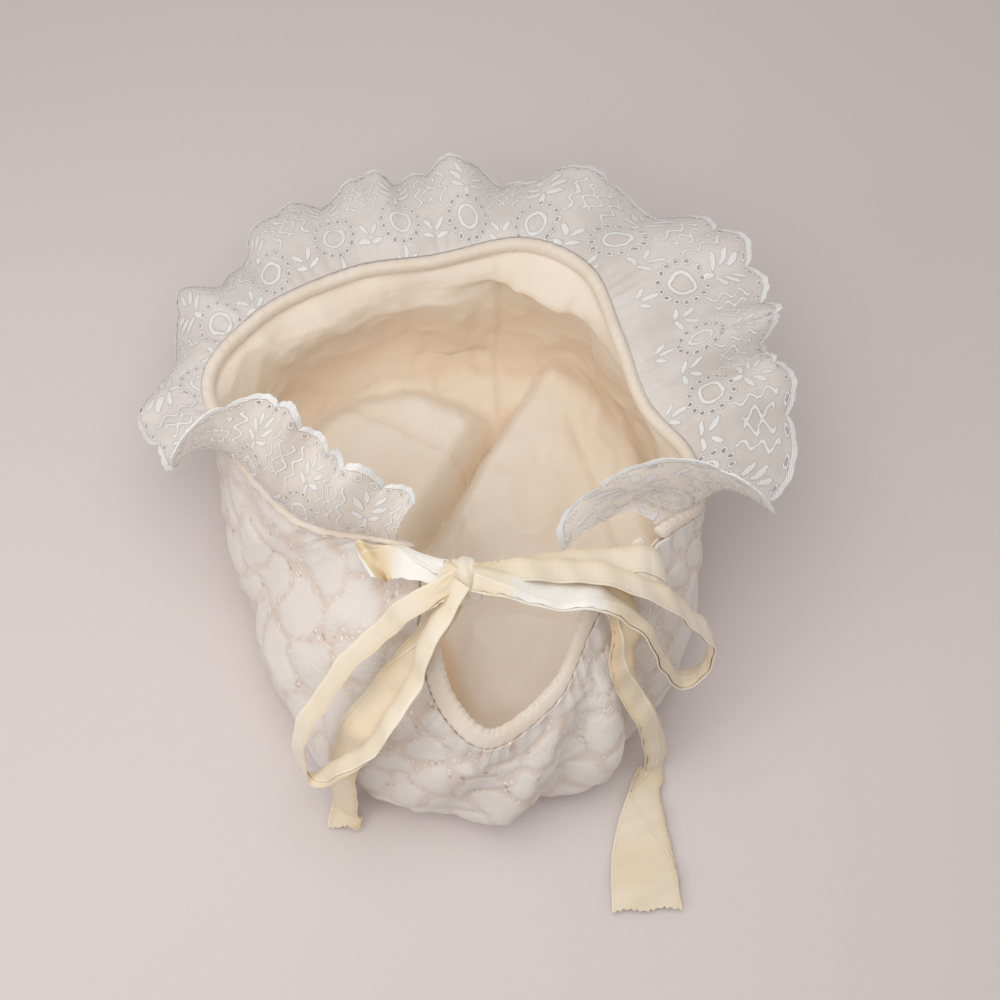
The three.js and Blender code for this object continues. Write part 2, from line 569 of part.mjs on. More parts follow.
const leftChin = rimAt(CHIN_LEFT);
const rightChin = rimAt(CHIN_RIGHT);
const KNOT = leftChin.middle.clone().lerp(rightChin.middle, KNOT_ALONG);
KNOT.y -= KNOT_DROP;
KNOT.z = BODY_HEIGHT + KNOT_LIFT;

// How far a point must rise to clear what has been built so far below it.
function riseOver(obstacles, point) {
  const ray = new THREE.Raycaster(new THREE.Vector3(point.x, point.y, 10 * BODY_HEIGHT), UP.clone().negate());
  const [hit] = ray.intersectObjects(obstacles, false);
  const stand = RIBBON_CLEARANCE + RIBBON_WALL / 2;
  if (!hit) return stand - point.z;
  const steep = Math.max(Math.abs(hit.face.normal.z), 0.4);
  return hit.point.z + stand / steep - point.z;
}

const ACROSS = [0, 0.25, 0.5, 0.75, 1];
const BETWEEN = [0, 0.25, 0.5, 0.75];

// The two edges of a ribbon and the way that it faces, at each point of its path.
function edgesOf(points, stations) {
  const last = points.length - 1;
  return points.map((point, i) => {
    const heading = points[Math.min(i + 1, last)].clone().sub(points[Math.max(i - 1, 0)]).normalize();
    const across = stations[i].across.clone().projectOnPlane(heading).normalize();
    const half = across.clone().multiplyScalar((stations[i].spread * RIBBON_WIDTH) / 2);
    return { left: point.clone().sub(half), right: point.clone().add(half), face: across.cross(heading) };
  });
}

// Ribbon sections square to a path, which is raised until the cloth is clear of what lies under it.
function ribbonGeometry(stations, obstacles) {
  const path = stations.map((s) => s.point);
  const plain = edgesOf(path, stations);
  const needs = plain.slice(0, -1).map((frame, i) => {
    const next = plain[i + 1];
    const points = BETWEEN.concat(1).flatMap((along) =>
      ACROSS.map((t) => {
        const here = frame.left.clone().lerp(frame.right, t);
        return here.lerp(next.left.clone().lerp(next.right, t), along);
      }),
    );
    return Math.max(0, ...points.map((p) => riseOver(obstacles, p)));
  });
  const within = (list, i, reach) => list.slice(Math.max(i - reach, 0), i + reach + 1);
  const most = path.map((_, i) => Math.max(...within(needs, Math.min(i, needs.length - 1), 2)));
  const rises = most.map((_, i) => within(most, i, 1).reduce((sum, r) => sum + r) / within(most, i, 1).length);
  const raised = path.map((p, i) => p.clone().addScaledVector(UP, rises[i]));
  const sections = edgesOf(raised, stations).map(({ left, right, face }) => {
    const lift = face.multiplyScalar(RIBBON_WALL / 2);
    return [left.clone().add(lift), right.clone().add(lift), right.clone().sub(lift), left.clone().sub(lift)];
  });
  return loftSolid(sections);
}

function tieStations(name, steps) {
  const rows = TIES[name];
  const angle = radians(HEADINGS[name]);
  const ahead = new THREE.Vector3(Math.cos(angle), Math.sin(angle), 0);
  const aside = UP.clone().cross(ahead);
  return Array.from({ length: steps + 1 }, (_, s) => {
    const value = (column) => alongTable(rows, column, s / steps);
    const point = new THREE.Vector3(KNOT.x, KNOT.y, value("lift") * BODY_HEIGHT)
      .addScaledVector(ahead, value("ahead") * REACHES[name])
      .addScaledVector(aside, value("aside") * REACHES[name]);
    const tilt = radians(value("tilt"));
    const across = aside.clone().multiplyScalar(Math.cos(tilt)).addScaledVector(UP, Math.sin(tilt));
    return { point, across, spread: value("spread") };
  });
}

function knotGeometry() {
  const geometry = new THREE.SphereGeometry(0.5, 12, 8);
  geometry.scale(KNOT_LENGTH, KNOT_WIDTH, KNOT_HEIGHT);
  return geometry;
}

// Assembly

const cloth = (color, roughness) =>
  new THREE.MeshStandardMaterial({ color, roughness, metalness: 0, side: THREE.DoubleSide });
const embroidered = () => cloth(0xe6d8cc, 0.85);
const lawn = () => cloth(0xe8d2b6, 0.8);
const lace = () => cloth(0xe4dddb, 0.8);
const satin = () => cloth(0xe9dcbb, 0.45);

const bonnet = new THREE.Group();

function add(name, geometry, material) {
  const mesh = new THREE.Mesh(geometry, material);
  mesh.name = name;
  bonnet.add(mesh);
  mesh.updateMatrixWorld(true);
  return mesh;
}

const shell = add("shell", shellGeometry(), embroidered());
const lining = add("lining", liningGeometry(), lawn());
const piping = add("front_piping", pipingGeometry(), lawn());
const band = add("neck_band", bandGeometry(), lawn());
add("lace_frill", frillGeometry(), lace());

const knot = add("bow_knot", knotGeometry(), satin());
knot.position.copy(KNOT);
knot.rotation.z = radians(KNOT_TURN);
knot.updateMatrixWorld(true);

const body = [shell, lining, piping, band];
const tailLeft = add("tail_left", ribbonGeometry(tieStations("tail_left", 20), body), satin());
const tailRight = add("tail_right", ribbonGeometry(tieStations("tail_right", 30), body), satin());
const under = [...body, tailLeft, tailRight];
const strapLeft = add("strap_left", ribbonGeometry(tieStations("strap_left", 10), under), satin());
const strapRight = add("strap_right", ribbonGeometry(tieStations("strap_right", 14), under), satin());
const below = [...under, strapLeft, strapRight];
add("loop_left", ribbonGeometry(tieStations("loop_left", 30), below), satin());
add("loop_right", ribbonGeometry(tieStations("loop_right", 32), below), satin());

export default bonnet;
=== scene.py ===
"""A newborn's lace bonnet, lying on its crown with its two satin ties in a bow.

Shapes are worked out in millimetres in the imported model's frame, and turned into metres where a mesh is
written.
"""
import logging
import math
from dataclasses import dataclass
from enum import Enum
from typing import Callable

import bmesh
import bpy
import numpy as np
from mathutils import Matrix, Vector, noise
from mathutils.bvhtree import BVHTree


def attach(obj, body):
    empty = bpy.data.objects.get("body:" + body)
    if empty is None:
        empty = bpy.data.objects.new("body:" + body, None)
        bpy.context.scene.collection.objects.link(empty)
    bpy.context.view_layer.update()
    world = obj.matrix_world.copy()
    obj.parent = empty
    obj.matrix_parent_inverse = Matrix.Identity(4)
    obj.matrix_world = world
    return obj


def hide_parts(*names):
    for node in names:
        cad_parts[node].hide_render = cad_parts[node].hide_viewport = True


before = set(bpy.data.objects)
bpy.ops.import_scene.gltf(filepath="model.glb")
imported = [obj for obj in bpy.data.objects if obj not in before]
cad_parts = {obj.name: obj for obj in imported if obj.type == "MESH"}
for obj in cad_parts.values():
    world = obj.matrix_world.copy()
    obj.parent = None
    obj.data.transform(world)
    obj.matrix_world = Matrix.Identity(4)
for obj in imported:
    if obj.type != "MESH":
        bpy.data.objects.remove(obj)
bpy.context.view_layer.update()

log = logging.getLogger("bonnet")

MM = 0.001
UP = np.array([0.0, 0.0, 1.0])
# How far apart surface points are taken to find a normal, in places or shares down.
STEP = 0.02
# How far a place round the body runs along the rim on average, in mm.
PLACE_LENGTH = 24.0


class Hold(Enum):
    """How a piece of cloth is held."""

    GATHERED = "gathered"
    FOLDED = "folded"


@dataclass(frozen=True)
class Place:
    """One place round the body: rim and belly as shares of half width, half length and height."""

    name: str
    rim: tuple[float, float, float]
    belly: tuple[float, float, float]


PLACES = (
    Place("nape", (0.13, -0.865, 0.62), (0.08, -1.0, 0.22)),
    Place("nape_left", (-0.05, -0.77, 0.72), (-0.31, -0.94, 0.21)),
    Place("neck_left", (-0.13, -0.585, 0.86), (-0.61, -0.73, 0.21)),
    Place("chin_left", (-0.17, -0.31, 1.0), (-0.83, -0.38, 0.24)),
    Place("jaw_left", (-0.64, -0.135, 0.88), (-0.92, -0.1, 0.29)),
    Place("temple_left", (-1.01, 0.365, 0.74), (-0.985, 0.3, 0.33)),
    Place("brow_left", (-0.85, 0.69, 0.72), (-0.86, 0.61, 0.31)),
    Place("top_left", (-0.48, 0.89, 0.72), (-0.55, 0.82, 0.28)),
    Place("top_middle", (-0.125, 0.935, 0.76), (-0.18, 0.91, 0.28)),
    Place("top", (0.25, 0.985, 0.8), (0.19, 0.93, 0.28)),
    Place("top_right", (0.535, 0.85, 0.83), (0.53, 0.82, 0.28)),
    Place("brow_right", (0.665, 0.56, 0.86), (0.76, 0.6, 0.28)),
    Place("side_right", (0.755, 0.3, 0.86), (0.9, 0.33, 0.28)),
    Place("temple_right", (0.91, 0.125, 0.81), (0.985, 0.07, 0.29)),
    Place("jaw_right", (0.94, -0.08, 0.84), (0.985, -0.18, 0.28)),
    Place("chin_right", (0.75, -0.265, 0.98), (0.89, -0.44, 0.24)),
    Place("neck_right", (0.53, -0.485, 0.9), (0.71, -0.71, 0.21)),
    Place("nape_right", (0.385, -0.72, 0.72), (0.43, -0.92, 0.21)),
)
COUNT = len(PLACES)
CHIN_LEFT = 3
CHIN_RIGHT = 15


@dataclass(frozen=True)
class Crease:
    """A fold of shell and lining. Down the wall it runs from top to bottom, 0 to 2."""

    at: float
    drift: float
    width: float
    depth: float
    top: float
    bottom: float


CREASES = (
    Crease(16.5, 0.7, 0.3, -1.0, 0.12, 1.6),
    Crease(16.05, 0.5, 0.28, 0.75, 0.12, 1.5),
    Crease(15.6, 0.45, 0.3, -0.75, 0.15, 1.4),
    Crease(17.0, 0.7, 0.3, 0.7, 0.12, 1.6),
    Crease(17.7, 0.5, 0.3, -0.55, 0.1, 1.5),
    Crease(0.7, 0.35, 0.3, -0.6, 0.1, 1.4),
    Crease(1.3, 0.3, 0.3, 0.5, 0.1, 1.4),
    Crease(2.0, 0.2, 0.32, -0.55, 0.1, 1.3),
    Crease(3.6, -0.3, 0.45, -0.8, 0.2, 1.5),
    Crease(5.5, 0.2, 0.4, -0.6, 0.15, 1.3),
    Crease(8.3, 0.1, 0.4, -0.8, 0.1, 1.4),
    Crease(10.7, 0.1, 0.4, -0.7, 0.1, 1.4),
    Crease(13.7, 0.2, 0.4, -0.8, 0.15, 1.5),
)


@dataclass(frozen=True)
class Pocket:
    """A place on the wall where the loose lining stands off the shell."""

    at: float
    width: float
    middle: float
    above: float
    below: float
    height: float


POCKETS = (
    Pocket(9.6, 0.8, 0.3, 0.3, 0.05, 0.56),
    Pocket(6.7, 0.7, 0.45, 0.35, 0.3, 0.28),
    Pocket(13.0, 0.8, 0.7, 0.45, 0.4, 0.25),
)


@dataclass(frozen=True)
class Mound:
    """Loose lining heaped on the floor, its middle and reach as shares of half width and half length.

    Its side is 1 left of the valley, -1 right of it and 0 where the valley doesn't bound it.
    """

    middle: tuple[float, float]
    reach: tuple[float, float]
    height: float
    plateau: float
    foot: float
    side: int


MOUNDS = (
    Mound((-0.26, 0.28), (0.66, 0.5), 0.95, 0.5, 0.85, 1),
    Mound((0.42, 0.26), (0.66, 0.84), 0.85, 0.5, 0.98, -1),
    Mound((0.3, -0.45), (0.4, 0.36), 0.6, 0.4, 1.0, 0),
)
# The valley between the heaps, from its top to its foot, in shares of half width and half length.
VALLEY = ((0.22, 0.6), (-0.17, -0.01))


@dataclass(frozen=True)
class Line:
    """A soft line on the lining, seen from above: its ends and its width in mm."""

    start: tuple[float, float]
    end: tuple[float, float]
    width: float


# TUCK and PLEAT press the heaps down along two folds and carry painted shade there.
TUCK = Line((2.0, 22.0), (-34.0, 41.0), 1.5)
PLEAT = Line((30.0, 36.0), (44.0, -6.0), 1.6)
NECK_SHADOW = Line((-6.0, -26.0), (1.0, -50.0), 3.8)


@dataclass(frozen=True)
class Lean:
    """How the frill leans at one share along the seam, in degrees from straight out."""

    along: float
    seam: float
    edge: float
    reach: float
    turn: float = 0.0


LEANS = (
    Lean(0.0, 85, 150, 0.42),
    Lean(0.06, 78, 158, 0.6),
    Lean(0.11, 74, 162, 0.74),
    Lean(0.15, 70, 152, 0.8, 4),
    Lean(0.178, 58, 112, 0.72, 16),
    Lean(0.2, 36, 38, 0.54, 36),
    Lean(0.22, 15, -8, 0.45, 36),
    Lean(0.245, 0, -50, 0.5, 18),
    Lean(0.28, -6, -70, 0.6),
    Lean(0.345, 8, -58, 0.72),
    Lean(0.44, 20, -38, 0.84),
    Lean(0.53, 22, -30, 0.84),
    Lean(0.61, 20, -34, 0.68),
    Lean(0.67, 20, -32, 0.82),
    Lean(0.73, 22, -12, 1.06),
    Lean(0.8, 22, -12, 1.04),
    Lean(0.855, 16, -16, 0.92),
    Lean(0.89, 14, -20, 0.78, -14),
    Lean(0.912, 24, -14, 0.58, -40),
    Lean(0.934, 50, 45, 0.52, -24),
    Lean(0.957, 88, 152, 0.68, 22),
    Lean(0.978, 122, 188, 0.76, 50),
    Lean(1.0, 146, 196, 0.76, 74),
)


@dataclass(frozen=True)
class TieRow:
    """One station of a tie.

    Ahead and aside are shares of its reach, and lift is a share of the body's height. Tilt is in degrees,
    and spread is the share of the ribbon's width left unfolded.
    """

    ahead: float
    aside: float
    lift: float
    tilt: float
    spread: float


TIES: dict[str, tuple[TieRow, ...]] = {
    "tail_left": (
        TieRow(0.061, 0.002, 1.016, 0, 0.42),
        TieRow(0.295, -0.007, 0.897, 0, 0.42),
        TieRow(0.503, -0.035, 0.724, 5, 0.5),
        TieRow(0.694, -0.039, 0.517, 5, 0.54),
        TieRow(0.843, -0.05, 0.19, 0, 0.5),
        TieRow(0.938, -0.012, 0.041, 0, 0.5),
        TieRow(1.027, 0.044, 0.021, 0, 0.52),
    ),
    "tail_right": (
        TieRow(0.046, 0.077, 1.0, 0, 0.36),
        TieRow(0.166, 0.252, 0.957, 0, 0.38),
        TieRow(0.274, 0.338, 0.81, 0, 0.42),
        TieRow(0.365, 0.336, 0.586, 8, 0.44),
        TieRow(0.427, 0.273, 0.328, 12, 0.38),
        TieRow(0.517, 0.274, 0.138, 8, 0.34),
        TieRow(0.626, 0.306, 0.041, 0, 0.4),
        TieRow(0.687, 0.225, 0.021, 0, 0.46),
        TieRow(0.776, 0.143, 0.021, 0, 0.72),
        TieRow(0.87, 0.072, 0.021, 0, 0.92),
        TieRow(0.998, -0.012, 0.021, 0, 1.0),
    ),
    "strap_left": (
        TieRow(0.249, -0.035, 1.079, 0, 0.36),
        TieRow(0.448, -0.07, 1.079, 0, 0.42),
        TieRow(0.672, -0.116, 1.041, 0, 0.5),
        TieRow(0.921, -0.107, 0.922, 0, 0.6),
    ),
    "strap_right": (
        TieRow(0.162, 0.012, 1.079, 0, 0.36),
        TieRow(0.402, 0.045, 1.069, 0, 0.46),
        TieRow(0.642, 0.057, 1.06, 0, 0.54),
        TieRow(0.834, 0.057, 1.052, 0, 0.58),
        TieRow(0.95, 0.055, 0.957, 0, 0.55),
    ),
    "loop_left": (
        TieRow(0.112, 0.003, 1.1, 15, 0.34),
        TieRow(0.248, -0.034, 1.062, 18, 0.36),
        TieRow(0.395, -0.071, 1.017, 24, 0.38),
        TieRow(0.576, -0.074, 0.948, 28, 0.38),
        TieRow(0.758, -0.049, 0.862, 30, 0.38),
        TieRow(0.921, -0.015, 0.741, 30, 0.38),
        TieRow(1.008, 0.034, 0.621, 32, 0.38),
        TieRow(1.018, 0.103, 0.509, 36, 0.38),
        TieRow(0.935, 0.187, 0.466, 38, 0.36),
        TieRow(0.786, 0.246, 0.534, 34, 0.34),
        TieRow(0.623, 0.241, 0.655, 28, 0.32),
        TieRow(0.457, 0.187, 0.81, 22, 0.32),
        TieRow(0.289, 0.109, 0.948, 16, 0.32),
        TieRow(0.133, 0.055, 1.026, 10, 0.32),
    ),
    "loop_right": (
        TieRow(0.121, 0.005, 1.1, -5, 0.34),
        TieRow(0.296, 0.035, 1.1, -10, 0.38),
        TieRow(0.479, 0.045, 1.097, -15, 0.4),
        TieRow(0.656, 0.02, 1.069, -20, 0.4),
        TieRow(0.816, -0.018, 0.983, -22, 0.42),
        TieRow(0.951, -0.044, 0.862, -28, 0.42),
        TieRow(1.036, -0.075, 0.707, -30, 0.42),
        TieRow(1.011, -0.131, 0.569, -32, 0.42),
        TieRow(0.904, -0.174, 0.534, -32, 0.4),
        TieRow(0.791, -0.154, 0.655, -28, 0.4),
        TieRow(0.677, -0.092, 0.81, -24, 0.38),
        TieRow(0.538, -0.06, 0.931, -20, 0.42),
        TieRow(0.349, -0.06, 0.983, -15, 0.46),
        TieRow(0.108, -0.07, 1.007, -5, 0.38),
    ),
}


@dataclass(frozen=True)
class TieLay:
    """Where a tie runs: heading in degrees from straight right, reach in mm and number of steps.

    Its ends at the knot lie so many mm from the knot's middle.
    """

    heading: float
    reach: float
    steps: int
    from_knot: float
    to_knot: float = 0.0


LAYS: dict[str, TieLay] = {
    "tail_left": TieLay(231, 52, 90, 2.0),
    "tail_right": TieLay(306, 78, 150, 2.0),
    "strap_left": TieLay(171, 27, 60, 2.0),
    "strap_right": TieLay(3, 49, 90, 2.0),
    "loop_left": TieLay(218, 52, 170, 2.0, 2.0),
    "loop_right": TieLay(-3, 58, 190, 2.0, 2.0),
}


@dataclass(frozen=True)
class Shaped:
    """A sheet's points in mm, its map in mm and its values at each point."""

    points: np.ndarray
    flat: np.ndarray
    values: dict[str, np.ndarray]


Surface = Callable[[np.ndarray, np.ndarray], Shaped]


def through(rows: np.ndarray, index: np.ndarray, closed: bool) -> np.ndarray:
    """Reads a smooth curve through table rows.

    Args:
        rows: The table, one row a station.
        index: Fractional row numbers.
        closed: True if the last row leads back to the first.

    Returns:
        One row of values for each number.
    """
    last = len(rows) - 1
    whole = np.floor(index).astype(int)
    if not closed:
        whole = np.clip(whole, 0, last - 1)
    t = (index - whole)[:, None]

    def row(k: int) -> np.ndarray:
        """The rows k on from each number."""
        return rows[(whole + k) % len(rows)] if closed else rows[np.clip(whole + k, 0, last)]

    a, b, c, d = row(-1), row(0), row(1), row(2)
    cubic = (2 * a - 5 * b + 4 * c - d) * t**2 + (3 * b - a - 3 * c + d) * t**3
    return 0.5 * (2 * b + (c - a) * t + cubic)


def unit(vectors: np.ndarray) -> np.ndarray:
    """Vectors of length one."""
    return vectors / np.maximum(np.linalg.norm(vectors, axis=-1, keepdims=True), 1e-9)


def smooth(value: np.ndarray, low: float, high: float) -> np.ndarray:
    """A soft step from 0 at low to 1 at high."""
    t = np.clip((value - low) / (high - low), 0, 1)
    return t * t * (3 - 2 * t)


def nearness(distance: np.ndarray, width: float) -> np.ndarray:
    """A bell that is 1 at no distance."""
    return np.exp(-((distance / width) ** 2))


def places_apart(a: np.ndarray, b: np.ndarray) -> np.ndarray:
    """The shortest way round the body from b to a, in places."""
    d = np.mod(a - b, COUNT)
    return np.where(d > COUNT / 2, d - COUNT, d)


def ruffle(points: np.ndarray, pitch: float, seed: int) -> np.ndarray:
    """Smooth random values in space.

    Args:
        points: Where to read them, in mm.
        pitch: Size of their lumps, in mm.
        seed: Which of many patterns.

    Returns:
        Values from about -1 to 1.
    """
    shift = Vector((17.31 * seed, 5.17 * seed, 9.73 * seed))
    return np.array([noise.noise(Vector(p) / pitch + shift) for p in points])


class BodyForm:
    """The bonnet's body as a surface round and down, in mm."""

    half = np.array([65.0, 74.0, 58.0])
    foot_share = 0.8
    shell_wall = 1.2
    lining_wall = 1.0
    layer_gap = 0.35
    crease_depth = 4.0
    puff_height = 16.0
    valley_slope = 6.5

    def __init__(self) -> None:
        """Turns the table of places into points."""
        self.rim = np.array([p.rim for p in PLACES]) * self.half
        self.belly = np.array([p.belly for p in PLACES]) * self.half
        self.lining_depth = self.shell_wall + self.layer_gap
        self.edge_depth = self.lining_depth + self.lining_wall

    def plain(self, place: np.ndarray, down: np.ndarray) -> np.ndarray:
        """The outside without its folds.

        Args:
            place: Places round the body.
            down: 0 at the rim, 1 at the belly, 2 at the flat patch, 3 at its middle.

        Returns:
            Points in mm.
        """
        rim = through(self.rim, place, True)
        belly = through(self.belly, place, True)
        foot = belly * self.foot_share
        foot[:, 2] = 0
        shoulder = rim + (belly - rim) * 0.35
        shoulder[:, 2] = rim[:, 2] + (belly[:, 2] - rim[:, 2]) * 0.18
        side = belly.copy()
        side[:, 2] = belly[:, 2] + (rim[:, 2] - belly[:, 2]) * 0.45
        under = belly.copy()
        under[:, 2] = 0
        t = np.clip(down, 0, 1)[:, None]
        wall = (1 - t) ** 3 * rim + 3 * (1 - t) ** 2 * t * shoulder
        wall = wall + 3 * (1 - t) * t**2 * side + t**3 * belly
        t = np.clip(down - 1, 0, 1)[:, None]
        turn = (1 - t) ** 2 * belly + 2 * (1 - t) * t * under + t**2 * foot
        floor = foot * (3 - np.clip(down, 2, 3))[:, None]
        low = (down > 2)[:, None]
        middle = (down > 1)[:, None]
        return np.where(low, floor, np.where(middle, turn, wall))

    def normal(self, surface: Callable, place: np.ndarray, down: np.ndarray) -> np.ndarray:
        """The way out of a surface.

        Args:
            surface: A function of place and down.
            place: Places round the body.
            down: How far down.

        Returns:
            Unit vectors.
        """
        above = np.maximum(down - STEP, 0)
        across = surface(place + STEP, down) - surface(place - STEP, down)
        along = surface(place, down + STEP) - surface(place, above)
        return unit(np.cross(across, along))

    def crease(self, place: np.ndarray, down: np.ndarray) -> np.ndarray:
        """How far the folds push the cloth out, in mm."""
        total = np.zeros_like(place)
        for c in CREASES:
            off = places_apart(place, c.at + c.drift * down)
            into = np.clip((down - c.top) / (c.bottom - c.top), 0, 1)
            total += c.depth * self.crease_depth * np.sin(np.pi * into) * nearness(off, c.width)
        return total

    def outside(self, place: np.ndarray, down: np.ndarray) -> np.ndarray:
        """The outside of the shell with its folds, in mm."""
        lift = self.crease(place, down)[:, None]
        return self.plain(place, down) + lift * self.normal(self.plain, place, down)

    def layer(self, place: np.ndarray, down: np.ndarray, depth: float) -> tuple[np.ndarray, np.ndarray]:
        """A layer of the wall.

        Args:
            place: Places round the body.
            down: How far down.
            depth: How far in from the outside, in mm.

        Returns:
            Its points in mm, and the way out at each.
        """
        out = self.normal(self.outside, place, np.minimum(down, 2.9))
        return self.outside(place, down) - depth * out, out

    def loose(
        self, place: np.ndarray, down: np.ndarray, points: np.ndarray
    ) -> tuple[np.ndarray, np.ndarray]:
        """How far the lining bulges off the wall and rises from the floor, in mm."""
        bulge = np.zeros_like(place)
        for p in POCKETS:
            fall = np.where(down < p.middle, p.above, p.below)
            here = nearness(places_apart(place, p.at), p.width) * np.exp(-(((down - p.middle) / fall) ** 2))
            bulge = np.maximum(bulge, p.height * here * np.minimum(1, down / p.above))
        rise = np.zeros_like(place)
        for m in MOUNDS:
            x = (points[:, 0] / self.half[0] - m.middle[0]) / m.reach[0]
            y = (points[:, 1] / self.half[1] - m.middle[1]) / m.reach[1]
            heap = 1 - smooth(np.hypot(x, y), m.plateau, m.foot)
            if m.side:
                heap = heap * smooth(m.side * self.left_of_valley(points), -0.5, self.valley_slope)
            rise = np.maximum(rise, m.height * heap * np.minimum(1, down / 2) ** 2)
        return self.puff_height * bulge, self.puff_height * rise

    def left_of_valley(self, points: np.ndarray) -> np.ndarray:
        """How far points lie left of the valley seen from above, in mm."""
        top, foot = (np.array(end) * self.half[:2] for end in VALLEY)
        way = (foot - top) / np.linalg.norm(foot - top)
        return (points[:, 0] - top[0]) * way[1] - (points[:, 1] - top[1]) * way[0]

    def rim_frame(self, place: np.ndarray) -> dict[str, np.ndarray]:
        """The rim at some places: its middle, and the ways up, along, out and through the cloth."""
        top = np.zeros_like(place)
        outer, _ = self.layer(place, top, 0)
        inner, _ = self.layer(place, top, self.edge_depth)
        below, _ = self.layer(place, top + 0.1, self.edge_depth / 2)
        middle = (outer + inner) / 2
        along = unit(self.layer(place + STEP, top, 0)[0] - self.layer(place - STEP, top, 0)[0])
        out = np.cross(UP, along)
        out[:, 2] = 0
        return {
            "middle": middle,
            "up": unit(middle - below),
            "along": along,
            "out": unit(out),
            "through": unit(outer - inner),
        }


def deselect() -> None:
    """Leaves object mode with nothing selected."""
    if bpy.context.mode != "OBJECT":
        bpy.ops.object.mode_set(mode="OBJECT")
    bpy.ops.object.select_all(action="DESELECT")


def keep_values(mesh: bpy.types.Mesh, values: dict[str, np.ndarray]) -> None:
    """Keeps named values at a mesh's points for its finish to read."""
    for key, numbers in values.items():
        attribute = mesh.attributes.new(key, "FLOAT", "POINT")
        attribute.data.foreach_set("value", numbers.astype(np.float32))


def bent_grid(name: str, columns: int, rows: int, surface: Surface) -> bpy.types.Object:
    """Adds a flat grid and bends it to a surface.

    Args:
        name: The piece's name.
        columns: Faces along.
        rows: Faces across.
        surface: Gives the shape for shares along and across.

    Returns:
        The piece, at the origin, with its map in mm.
    """
    deselect()
    bpy.ops.mesh.primitive_grid_add(x_subdivisions=columns, y_subdivisions=rows, size=1.0)
    piece = bpy.context.active_object
    piece.name = name
    piece.data.name = name
    mesh = piece.data
    flat = np.empty(len(mesh.vertices) * 3)
    mesh.vertices.foreach_get("co", flat)
    flat = flat.reshape(-1, 3)
    shaped = surface(np.clip(flat[:, 0] + 0.5, 0, 1), np.clip(flat[:, 1] + 0.5, 0, 1))
    mesh.vertices.foreach_set("co", (shaped.points * MM).ravel())
    corners = np.empty(len(mesh.loops), dtype=np.int32)
    mesh.loops.foreach_get("vertex_index", corners)
    mesh.uv_layers.active.data.foreach_set("uv", shaped.flat[corners].astype(np.float32).ravel())
    keep_values(mesh, shaped.values)
    mesh.update()
    return piece


def select_only(piece: bpy.types.Object) -> None:
    """Selects one piece and makes it the active one."""
    deselect()
    piece.select_set(True)
    bpy.context.view_layer.objects.active = piece


def face_outwards(piece: bpy.types.Object) -> None:
    """Turns the faces of a closed piece outwards."""
    select_only(piece)
    bpy.ops.object.mode_set(mode="EDIT")
    bpy.ops.mesh.select_all(action="SELECT")
    bpy.ops.mesh.normals_make_consistent(inside=False)
    bpy.ops.object.mode_set(mode="OBJECT")


def close_joins(piece: bpy.types.Object, inside: tuple[float, float, float] | None) -> None:
    """Merges the grid's joins and poles and turns its faces away from a point inside, given in mm."""
    work = bmesh.new()
    work.from_mesh(piece.data)
    bmesh.ops.remove_doubles(work, verts=work.verts, dist=2e-6)
    work.normal_update()
    if inside is not None:
        middle = Vector(inside) * MM
        outwards = sum(f.normal.dot(f.calc_center_median() - middle) * f.calc_area() for f in work.faces)
        if outwards < 0:
            bmesh.ops.reverse_faces(work, faces=work.faces)
    work.to_mesh(piece.data)
    work.free()


def thicken(piece: bpy.types.Object, wall: float, offset: float) -> None:
    """Gives a sheet its wall.

    Args:
        piece: The sheet.
        wall: Thickness in mm.
        offset: -1 inwards, 0 both ways, 1 outwards.
    """
    select_only(piece)
    bpy.ops.object.modifier_add(type="SOLIDIFY")
    modifier = piece.modifiers[-1]
    modifier.thickness = wall * MM
    modifier.offset = offset
    modifier.use_rim = True
    bpy.ops.object.modifier_apply(modifier=modifier.name)
    bpy.ops.object.shade_smooth_by_angle(angle=math.radians(50))


def area_of(piece: bpy.types.Object) -> float:
    """Surface area in square metres."""
    return sum(p.area for p in piece.data.polygons)


def dress(piece: bpy.types.Object, finish: bpy.types.Material, node: str) -> None:
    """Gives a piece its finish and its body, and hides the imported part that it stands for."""
    piece.data.materials.append(finish)
    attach(piece, "root")
    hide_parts(node)


